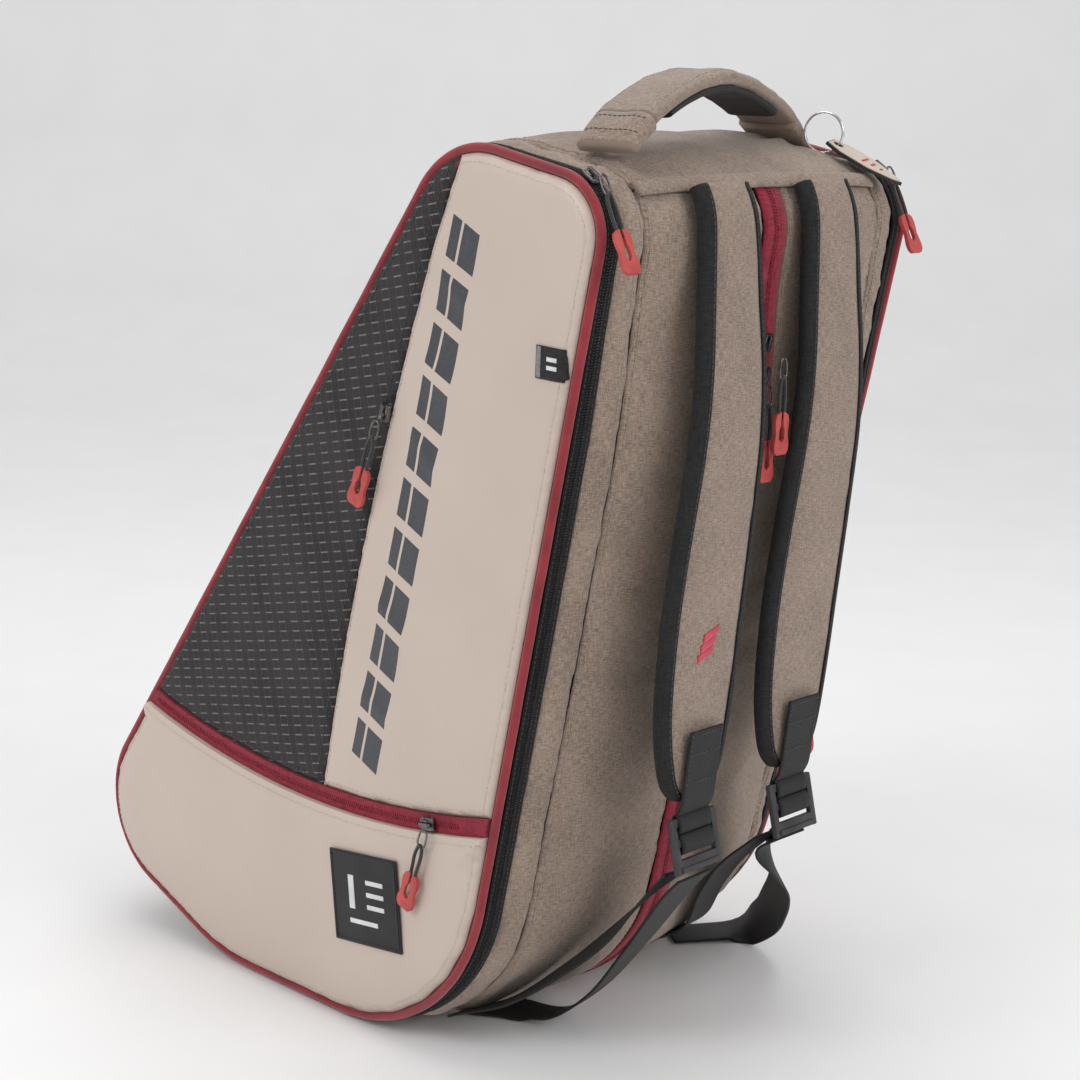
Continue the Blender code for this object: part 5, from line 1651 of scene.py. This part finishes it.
STRAP_DEPTHS = {"near": -0.053, "far": 0.043}
STRAP_SEWN_PLACES = (0.26, 0.33, 0.42)
STRAP_ROUTE = (
    (0.003, -0.037), (0.006, -0.080), (0.005, -0.123),
    (-0.001, -0.176), (-0.007, -0.230), (-0.011, -0.284), (-0.012, -0.319), (-0.013, -0.338),
)
STRAP_WIDTHS = (0.048, 0.049, 0.051, 0.055, 0.060, 0.065, 0.070, 0.072, 0.068, 0.056, 0.038)
STRAP_HALF_WALL = 0.006
BINDING_WIDTH = 0.0078

binding_tape = woven(
    "binding_tape", (0.007, 0.007, 0.007), (0.022, 0.021, 0.021), 0.75, 0.0008, 0.0003, 1.2, sheen=0.04
)


def strap_line(name):
    """Rows along a strap: its middle, its half width and the way out from its face."""
    points = []
    for place in STRAP_SEWN_PLACES:
        point = skin(place, 0.0, STRAP_HALF_WALL + 0.001)
        points.append((point.x, STRAP_DEPTHS[name], point.z))
    foot = points[-1]
    points += [(foot[0] + x, foot[1], foot[2] + z) for x, z in STRAP_ROUTE]
    run, length = smooth_run([(*point, width / 2) for point, width in zip(points, STRAP_WIDTHS)], 0.004)
    rows = []
    for k, row in enumerate(run):
        before, ahead = run[max(0, k - 1)], run[min(len(run) - 1, k + 1)]
        along = Vector(ahead[:3] - before[:3]).normalized()
        left = (len(run) - 1 - k) * length / (len(run) - 1)
        half = row[3]
        if left < 0.012:
            half *= 0.80 + 0.20 * math.sqrt(1 - (1 - left / 0.012) ** 2)
        out = Vector((0.0, 1.0, 0.0)).cross(along)
        rows.append((Vector(row[:3]), half, out if out.x > 0 else -out))
    return rows, length


def strap_profile(half, turn, swell=0.0):
    """Across and up on the strap's section at a turn round it: fat in the middle, thin at the edges."""
    c, s = math.cos(turn), math.sin(turn)
    across = half * math.copysign(abs(c) ** 0.45, c)
    edge = half - abs(across)
    thick = STRAP_HALF_WALL * (0.52 + 0.48 * min(1.0, edge / 0.014) ** 0.7)
    return across, (thick + swell) * math.copysign(abs(s) ** 0.55, s)


def strap_piece(name, rows, length, turns, swell, finish, grow=0.0, closed=True):
    rings = []
    for k, (middle, half, out) in enumerate(rows):
        share = k / (len(rows) - 1)
        ring = []
        for turn in turns:
            across, up = strap_profile(half + grow, turn, swell)
            if abs(math.sin(turn)) > 0.3 and closed:
                up += math.copysign(0.0008 * (crease((share * 3, across * 9, 0.4), 0.9) - 0.3), up)
            ring.append(middle + Vector((0.0, across, 0.0)) + out * up)
        rings.append(ring)
    if closed:
        return sweep_piece(name, rings, length, finish)
    obj = cloth_grid(name, rings, length, 0.0, 2 * rows[0][1], finish)
    return obj


strap_lines = {}
for name in SIDES:
    rows, length = strap_line(name)
    strap_lines[name] = rows
    whole = np.linspace(0, 2 * math.pi, 56, endpoint=False)
    cushion = strap_piece(f"strap_{name}", rows, length, whole, 0.0, heather)
    fit(cushion, f"{name}_strap", "tan_cloth", f"strap_pad_{name}")
    stitched = []
    for side in (-1, 1):
        ring_rows = []
        for middle, half, out in rows:
            ring = []
            inner = half - BINDING_WIDTH
            spots = [
                (inner, 1), (half - 0.004, 1), (half - 0.001, 1), (half + 0.0005, 0.4),
                (half + 0.0007, -0.4), (half - 0.001, -1), (half - 0.004, -1), (inner, -1)
            ]
            for across, up in spots:
                edge = max(0.0, half - across)
                thick = STRAP_HALF_WALL * (
                    0.52 + 0.48 * min(1.0, edge / 0.014) ** 0.7
                ) * min(1.0, 0.72 + edge / 0.012) + 0.0008
                ring.append(middle + Vector((0.0, side * across, 0.0)) + out * up * thick)
            ring_rows.append(ring)
        edge_tape = cloth_grid(
            f"binding_{name}_{'a' if side < 0 else 'b'}", ring_rows, length, 0.0, 0.028, binding_tape
        )
        face_away(edge_tape, rows[len(rows) // 2][0])
        finer(edge_tape, 1)
        give_wall(edge_tape, 0.0007)
        fit(edge_tape, f"{name}_strap", "black_tape")
        points = [
            middle + Vector((0.0, side * (half - BINDING_WIDTH + 0.0016), 0.0)) for middle, half,
            out in rows
        ]
        stitched.append(laid_on(surface_of(edge_tape), points, 0.0001, [out for _, _, out in rows]))
    lay_row(
        f"binding_stitches_{name}", stitched, bead_row, STITCH_SPACING, STITCH, black_thread,
        f"{name}_strap", "black_tape"
    )
    back = []
    for middle, half, out in rows:
        back.append(
            [
                middle + Vector((0.0, across, 0.0)) - out * (
                    STRAP_HALF_WALL * (0.52 + 0.48 * min(1.0, (half - abs(across)) / 0.014) ** 0.7) + 0.0005
                )
                for across in np.linspace(-half + BINDING_WIDTH, half - BINDING_WIDTH, 11)
            ]
        )
    back_mesh = cloth_grid(f"strap_back_{name}", back, length, 0.0, 0.05, mesh_cloth)
    face_away(back_mesh, rows[len(rows) // 2][0] + rows[len(rows) // 2][2] * 0.05)
    give_wall(back_mesh, 0.0008)
    fit(back_mesh, f"{name}_strap", "mesh_cloth")
    if name == "near":
        mark_rows = surface_of(cushion)

strap_red = woven(
    "mark_thread", (0.42, 0.020, 0.045), (0.66, 0.065, 0.10), 0.6, 0.0009, 0.0003, 1.2, sheen=0.3
)
for row, (low, high, shift) in enumerate(
    ((0.0035, 0.0085, 0.002), (-0.0025, 0.0025, 0.0), (-0.0085, -0.0035, -0.002))
):
    grid = []
    for z in np.linspace(0.2805 + low, 0.2805 + high, 5):
        points = [
            Vector((0.25, STRAP_DEPTHS["near"] + shift + y, z + 0.35 * y))
            for y in np.linspace(-0.007, 0.007, 9)
        ]
        grid.append([place for place, _ in laid_on(mark_rows, points, 0.0005, [Vector((1, 0, 0))] * 9)])
    mark = cloth_grid(f"strap_mark_{row}", grid, 0.005, -0.007, 0.007, strap_red)
    face_away(mark, Vector((0.0, 0.0, 0.28)))
    give_wall(mark, 0.0005)
    fit(mark, "near_strap", "red_tape")

# Webbing and adjusters: ribbed nylon webbing is sewn over each strap's foot and threaded round
# the bars of a moulded ladder lock. Below it one end is sewn to the bag and the other hangs loose.

WEBBING_WIDTH, WEBBING_WALL = 0.030, 0.0017


def ribbed_webbing():
    """Nylon webbing: close ribs straight across, with a plain selvedge along each edge."""
    made, tree, shader = new_material("ribbed_webbing", 0.6, Sheen_Weight=0.04, Specular_IOR_Level=0.3)
    cloth = put(tree, "UVMap", uv_map="cloth")
    split = put(tree, "SeparateXYZ", {"Vector": cloth}).node.outputs
    ribs = math_of(tree, "PINGPONG", split["X"], 0.0006)
    edge = math_of(tree, "ABSOLUTE", split["Y"])
    selvedge = math_of(tree, "GREATER_THAN", edge, WEBBING_WIDTH / 2 - 0.0022)
    yarn = put(
        tree, "TexNoise",
        {
            "Vector": put(tree, "Mapping", {"Vector": cloth, "Scale": (90.0, 600.0, 1.0)}), "Scale": 1.5,
            "Detail": 3.0
        }
    )
    tone = math_of(
        tree, "ADD", math_of(tree, "MULTIPLY", ribs, 700.0), math_of(tree, "MULTIPLY", selvedge, -0.25)
    )
    tone = math_of(tree, "ADD", tone, math_of(tree, "MULTIPLY", yarn, 0.6))
    tree.links.new(
        ramp_of(tree, tone, 0.1, 0.9, (0.007, 0.007, 0.007), (0.030, 0.028, 0.028)),
        shader.inputs["Base Color"]
    )
    relief(tree, shader, math_of(tree, "MULTIPLY", ribs, 1600.0), 0.7, 0.0003)
    relief(tree, shader, yarn, 0.3, 0.0002)
    return made


webbing = ribbed_webbing()


def webbing_piece(name, points, turns, body, *solids, width=WEBBING_WIDTH):
    """A length of webbing through points, with the way its width runs at each."""
    run, length = smooth_run(
        [(*point, *Vector(turn).normalized()) for point, turn in zip(points, turns)], 0.0035
    )
    rows = []
    for k, row in enumerate(run):
        across = Vector(row[3:6]).normalized()
        before, ahead = run[max(0, k - 1)], run[min(len(run) - 1, k + 1)]
        along = Vector(ahead[:3] - before[:3]).normalized()
        across = (across - along * across.dot(along)).normalized()
        out = along.cross(across)
        cup = 0.0004 * noise.noise(Vector((k * 0.11, length, 0.0)))
        rows.append(
            [
                Vector(row[:3]) + across * width * share + out * (cup * (1 - (2 * share) ** 2))
                for share in np.linspace(-0.5, 0.5, 9)
            ]
        )
        for point in rows[-1]:
            point.z = max(point.z, WEBBING_WALL / 2 + 0.0002)
    obj = cloth_grid(name, rows, length, -width / 2, width / 2, webbing)
    wall = obj.modifiers.new("wall", "SOLIDIFY")
    wall.thickness, wall.offset = WEBBING_WALL, 0.0
    rounding = obj.modifiers.new("selvedge", "BEVEL")
    rounding.width, rounding.segments, rounding.limit_method = 0.0004, 2, "ANGLE"
    fix_modifiers(obj)
    return fit(obj, body, "webbing", *solids)


lock_plastic = moulded("lock_plastic", (0.030, 0.028, 0.031), (0.055, 0.052, 0.056), 0.42)
OVERLAP, DROP, BAR, SLOT, TILT = 0.045, 0.0088, 0.0045, 0.007, math.radians(14)
LOCK_WIDTH, LOCK_HEIGHT, LOCK_WALL = 0.042, 0.034, 0.004
pivots = {}
for name in SIDES:
    tip = strap_lines[name][-1][0]
    face = STRAP_HALF_WALL + 0.0009 + 0.0015
    bar_top = tip + Vector((0.0045, 0.0, -DROP))
    web = [
        tip + Vector((face + 0.0050, 0, OVERLAP)), tip + Vector((face + 0.0025, 0, OVERLAP / 2)),
        tip + Vector((face, 0, 0)), bar_top
    ]
    strap_web = webbing_piece(
        f"strap_web_{name}", web, [(0, 1, 0)] * 4, f"{name}_strap", f"strap_webbing_{name}"
    )
    sewn = surface_of(strap_web)
    rows = []
    for height in (0.0425, 0.030, 0.012):
        points = [tip + Vector((face + 0.005, y, height)) for y in np.linspace(-0.0135, 0.0135, 12)]
        rows.append(laid_on(sewn, points, 0.0001, [Vector((1, 0, 0))] * 12))
    for edge in (-0.0132, 0.0132):
        points = [tip + Vector((face + 0.005, edge, z)) for z in np.linspace(0.012, 0.0425, 14)]
        rows.append(laid_on(sewn, points, 0.0001, [Vector((1, 0, 0))] * 14))
    lay_row(
        f"strap_web_stitches_{name}", rows, bead_row, 0.0029, (0.0022, 0.0007, 0.0006), black_thread,
        f"{name}_strap", "webbing"
    )
    pivot = bar_top - Vector((0.0, 0.0, BAR))
    pivots[name] = pivot
    down = Vector((math.sin(TILT), 0.0, -math.cos(TILT)))
    out = Vector((0.0, 1.0, 0.0)).cross(down) * -1.0
    out = out if out.x > 0 else -out
    lock = Matrix.Translation(pivot) @ Matrix(((out.cross(down) * -1.0), -down, out)).transposed().to_4x4()
    shape = bmesh.new()
    top, foot = BAR * 0.6, BAR * 0.6 - LOCK_HEIGHT
    for side in (-1, 1):
        block(
            shape, (side * (LOCK_WIDTH / 2 - 0.0025), (top + foot) / 2, 0),
            (0.0050, LOCK_HEIGHT, LOCK_WALL), bevel=0.0011
        )
    bars = [
        (0.0, BAR * 1.2, LOCK_WALL), (-BAR * 1.2 - SLOT, BAR * 1.2, LOCK_WALL * 0.9),
        (foot + 0.0046, 0.0088, LOCK_WALL)
    ]
    for along, deep, thick in bars:
        block(shape, (0, along, 0), (LOCK_WIDTH - 0.006, deep, thick), bevel=0.0012)
    block(shape, (0, foot + 0.0025, 0.0022), (LOCK_WIDTH - 0.008, 0.0034, 0.0014), bevel=0.0005)
    for step in range(5):
        block(shape, (0.0, -BAR * 1.2 - SLOT + 0.0016 - 0.0008 * step, 0.0019), (0.028, 0.0004, 0.0004))
    fit(
        placed(f"ladder_lock_{name}", shape, lock, lock_plastic), f"{name}_adjuster", "black_plastic",
        f"adjuster_{name}"
    )

routes = {
    "near": (
        [(0.004, 0.0, -0.036), (0.222, -0.052, 0.118), (0.193, -0.050, 0.078), (0.161, -0.048, 0.037),
         (0.132, -0.049, 0.0110), (0.112, -0.050, 0.0026), (0.090, -0.060, 0.0020), (0.068, -0.074, 0.0020)],
        [
            (0, 1, 0), (0, 1, 0), (-0.1, 1, 0), (-0.2, 1, 0), (-0.1, 1, 0), (0.3, 1, 0), (0.5, 1, 0),
            (0.6, 1, 0)
        ],
        [(-0.008, 0.0, -0.036), (0.204, -0.058, 0.112), (0.184, -0.070, 0.084), (0.160, -0.084, 0.058)],
        [
            (0, 1, 0), (-0.3, 1, 0), (-0.6, 0.8, -0.1), (-0.6, 0.7, -0.2), (-0.6, 0.7, -0.3),
            (-0.6, 0.7, -0.35)
        ],
        [(1.20, -0.096, 0.008), (1.30, -0.103, 0.0022)],
    ),
    "far": (
        [(0.000, 0.002, -0.036), (0.215, 0.050, 0.124), (0.206, 0.068, 0.102), (0.196, 0.090, 0.080),
         (0.174, 0.116, 0.054), (0.146, 0.142, 0.026), (0.118, 0.152, 0.006),
         (0.100, 0.136, 0.0022), (0.084, 0.113, 0.0020)],
        [
            (0, 1, 0), (-0.4, 1, 0), (-0.7, 0.7, 0), (-0.8, 0.6, 0), (-0.8, 0.5, 0), (-0.9, 0.5, 0),
            (-0.9, 0.5, 0), (-0.8, 0.7, 0), (-0.8, 0.8, 0)
        ],
        [(-0.012, 0.0, -0.036), (0.192, 0.043, 0.108), (0.170, 0.050, 0.080)],
        [(0, 1, 0), (0, 1, 0), (-0.1, 1, 0), (-0.3, 1, -0.1), (-0.5, 0.85, -0.3)],
        [(1.14, 0.062, 0.007), (1.25, 0.078, 0.0022)],
    ),
}
for name, (tail, tail_turns, anchor, anchor_turns, sewn_end) in routes.items():
    pivot = pivots[name]
    end = []
    for place, depth, lift in sewn_end:
        end.append(skin(place, depth, lift))
    webbing_piece(
        f"loose_web_{name}", [pivot + Vector(tail[0])] + tail[1:], tail_turns, f"{name}_strap",
        f"webbing_tail_{name}"
    )
    webbing_piece(
        f"sewn_web_{name}", [pivot + Vector(anchor[0])] + anchor[1:] + end, anchor_turns, "shell",
        f"lower_webbing_{name}"
    )
    for label, spot, body in (
        ("upper", 0.0, f"{name}_adjuster"), ("lower", -BAR * 1.2 - SLOT, f"{name}_adjuster")
    ):
        down = Vector((math.sin(TILT), 0.0, -math.cos(TILT)))
        out = Vector((math.cos(TILT), 0.0, math.sin(TILT)))
        ring = []
        for turn in np.linspace(0, 2 * math.pi, 13)[:-1]:
            ring.append(
                pivot - down * (spot - 0.0012 + 0.0062 * math.cos(turn)) + out * 0.0034 * math.sin(turn)
            )
        loops, length = smooth_run(ring + ring[:1], 0.0012)
        rows = [
            [Vector(point[:3]) + Vector((0.0, across, 0.0)) for across in np.linspace(-0.0148, 0.0148, 9)]
            for point in loops
        ]
        wrap = cloth_grid(f"web_wrap_{label}_{name}", rows, length, -0.0148, 0.0148, webbing)
        face_away(wrap, pivot - down * spot)
        give_wall(wrap, 0.0012)
        fit(wrap, body, "webbing")

# Tag: a stiff coated tag with a black bound edge, on a bright wire split ring that is sewn in
# at the far end of the handle.


def bright_wire():
    made, tree, shader = new_material("bright_wire", 0.22, Metallic=1.0)
    streak = put(tree, "TexNoise", {"Vector": own_place(tree), "Scale": 350.0, "Detail": 3.0})
    tree.links.new(
        ramp_of(tree, streak, 0.3, 0.7, (0.55, 0.55, 0.56), (0.74, 0.74, 0.75)), shader.inputs["Base Color"]
    )
    relief(tree, shader, streak, 0.1, 0.0001)
    return made


wire = bright_wire()
RING_CENTRE, RING_RADIUS, RING_WIRE = Vector((0.1885, 0.104, 0.5740)), 0.0125, 0.0009
RING_TURN, RING_HOOK = math.radians(18), math.radians(-40)
outward = Vector((math.cos(RING_TURN), math.sin(RING_TURN), 0.0))
points = []
for turn in np.linspace(0, 4 * math.pi, 97)[:-1]:
    beside = outward.cross(Vector((0, 0, 1))) * (0.0007 * math.cos(turn / 2))
    points.append(
        RING_CENTRE + outward * RING_RADIUS * math.cos(turn)
        + Vector((0, 0, 1)) * RING_RADIUS * math.sin(turn) + beside
    )
ring = sweep_piece(
    "wire_ring", cord_rings(points, RING_WIRE * 0.8, 8, closed=True), 0.15, wire, closed=True
)
fit(ring, "ring", "steel", "tag_ring")

spoke = outward * math.cos(RING_HOOK) + Vector((0.0, 0.0, math.sin(RING_HOOK)))
hook = RING_CENTRE + spoke * RING_RADIUS
tag_along = Vector((0.86, 0.25, -0.45)).normalized()
tag_across = tag_along.cross(Vector((0.46, 0.02, 0.89))).normalized()
tag_out = tag_across.cross(tag_along).normalized()
if tag_out.z < 0:
    tag_out = -tag_out
tag_frame = Matrix.Translation(hook) @ Matrix(
    (tag_along.cross(tag_out), tag_along, tag_out)
).transposed().to_4x4()
TAG_HALF, TAG_LENGTH, TAG_WALL = 0.011, 0.048, 0.0024
tag_edge = [
    (-0.0060, -0.006), (0.0060, -0.006), (TAG_HALF, 0.006), (TAG_HALF, TAG_LENGTH * 0.55),
    (0.0045, TAG_LENGTH * 0.90), (0.0, TAG_LENGTH), (-0.0045, TAG_LENGTH * 0.90),
    (-TAG_HALF, TAG_LENGTH * 0.55), (-TAG_HALF, 0.006)
]


def tag_plate(name, shrink, low, high, finish, bevel):
    """A flat layer of the tag with the ring's hole through it."""
    outer = [
        Vector((x * (1 - shrink / TAG_HALF), y * (1 - shrink / 0.03) + shrink * 0.6, 0.0)) for x,
        y in tag_edge
    ]
    hole = [
        Vector((0.0034 * math.cos(t), 0.0034 * math.sin(t), 0.0))
        for t in np.linspace(0, 2 * math.pi, 24, endpoint=False)
    ]
    flat, _, found, *_ = delaunay_2d_cdt(
        [p.to_2d() for p in outer + hole],
        [(k, (k + 1) % 9) for k in range(9)] + [(9 + k, 9 + (k + 1) % 24) for k in range(24)], [], 1, 1e-7
    )
    found = [face for face in found if sum((flat[k] for k in face), Vector((0, 0))).length / 3 > 0.0033]
    mesh = bpy.data.meshes.new(name)
    mesh.from_pydata([(p.x, p.y, low) for p in flat], [], [tuple(face) for face in found])
    shape = bmesh.new()
    shape.from_mesh(mesh)
    bpy.data.meshes.remove(mesh)
    raised = bmesh.ops.extrude_face_region(shape, geom=list(shape.faces))["geom"]
    bmesh.ops.translate(
        shape, vec=(0, 0, high - low),
        verts=[item for item in raised if isinstance(item, bmesh.types.BMVert)]
    )
    bmesh.ops.recalc_face_normals(shape, faces=shape.faces)
    rim = [edge for edge in shape.edges if len(edge.link_faces) == 2 and edge.calc_face_angle() > 1.0]
    bmesh.ops.bevel(
        shape, geom=rim, offset=bevel, segments=2, profile=0.6, affect="EDGES", clamp_overlap=True
    )
    return placed(name, shape, tag_frame, finish)


fit(
    tag_plate("tag_core", 0.0, -TAG_WALL / 2, TAG_WALL / 2 - 0.0005, patch_rubber, 0.0004), "hang_tag",
    "cream_skin", "tag"
)
fit(
    tag_plate("tag_face", 0.0012, TAG_WALL / 2 - 0.0008, TAG_WALL / 2, cream_plain, 0.0002), "hang_tag",
    "cream_skin"
)
shape = bmesh.new()
for along, wide in ((0.020, 0.009), (0.026, 0.006), (0.032, 0.003)):
    block(shape, (0.0, along, TAG_WALL / 2 + 0.0002), (wide, 0.0016, 0.0004), bevel=0.0001)
fit(placed("tag_mark", shape, tag_frame, grip_rubber), "hang_tag", "cream_skin")
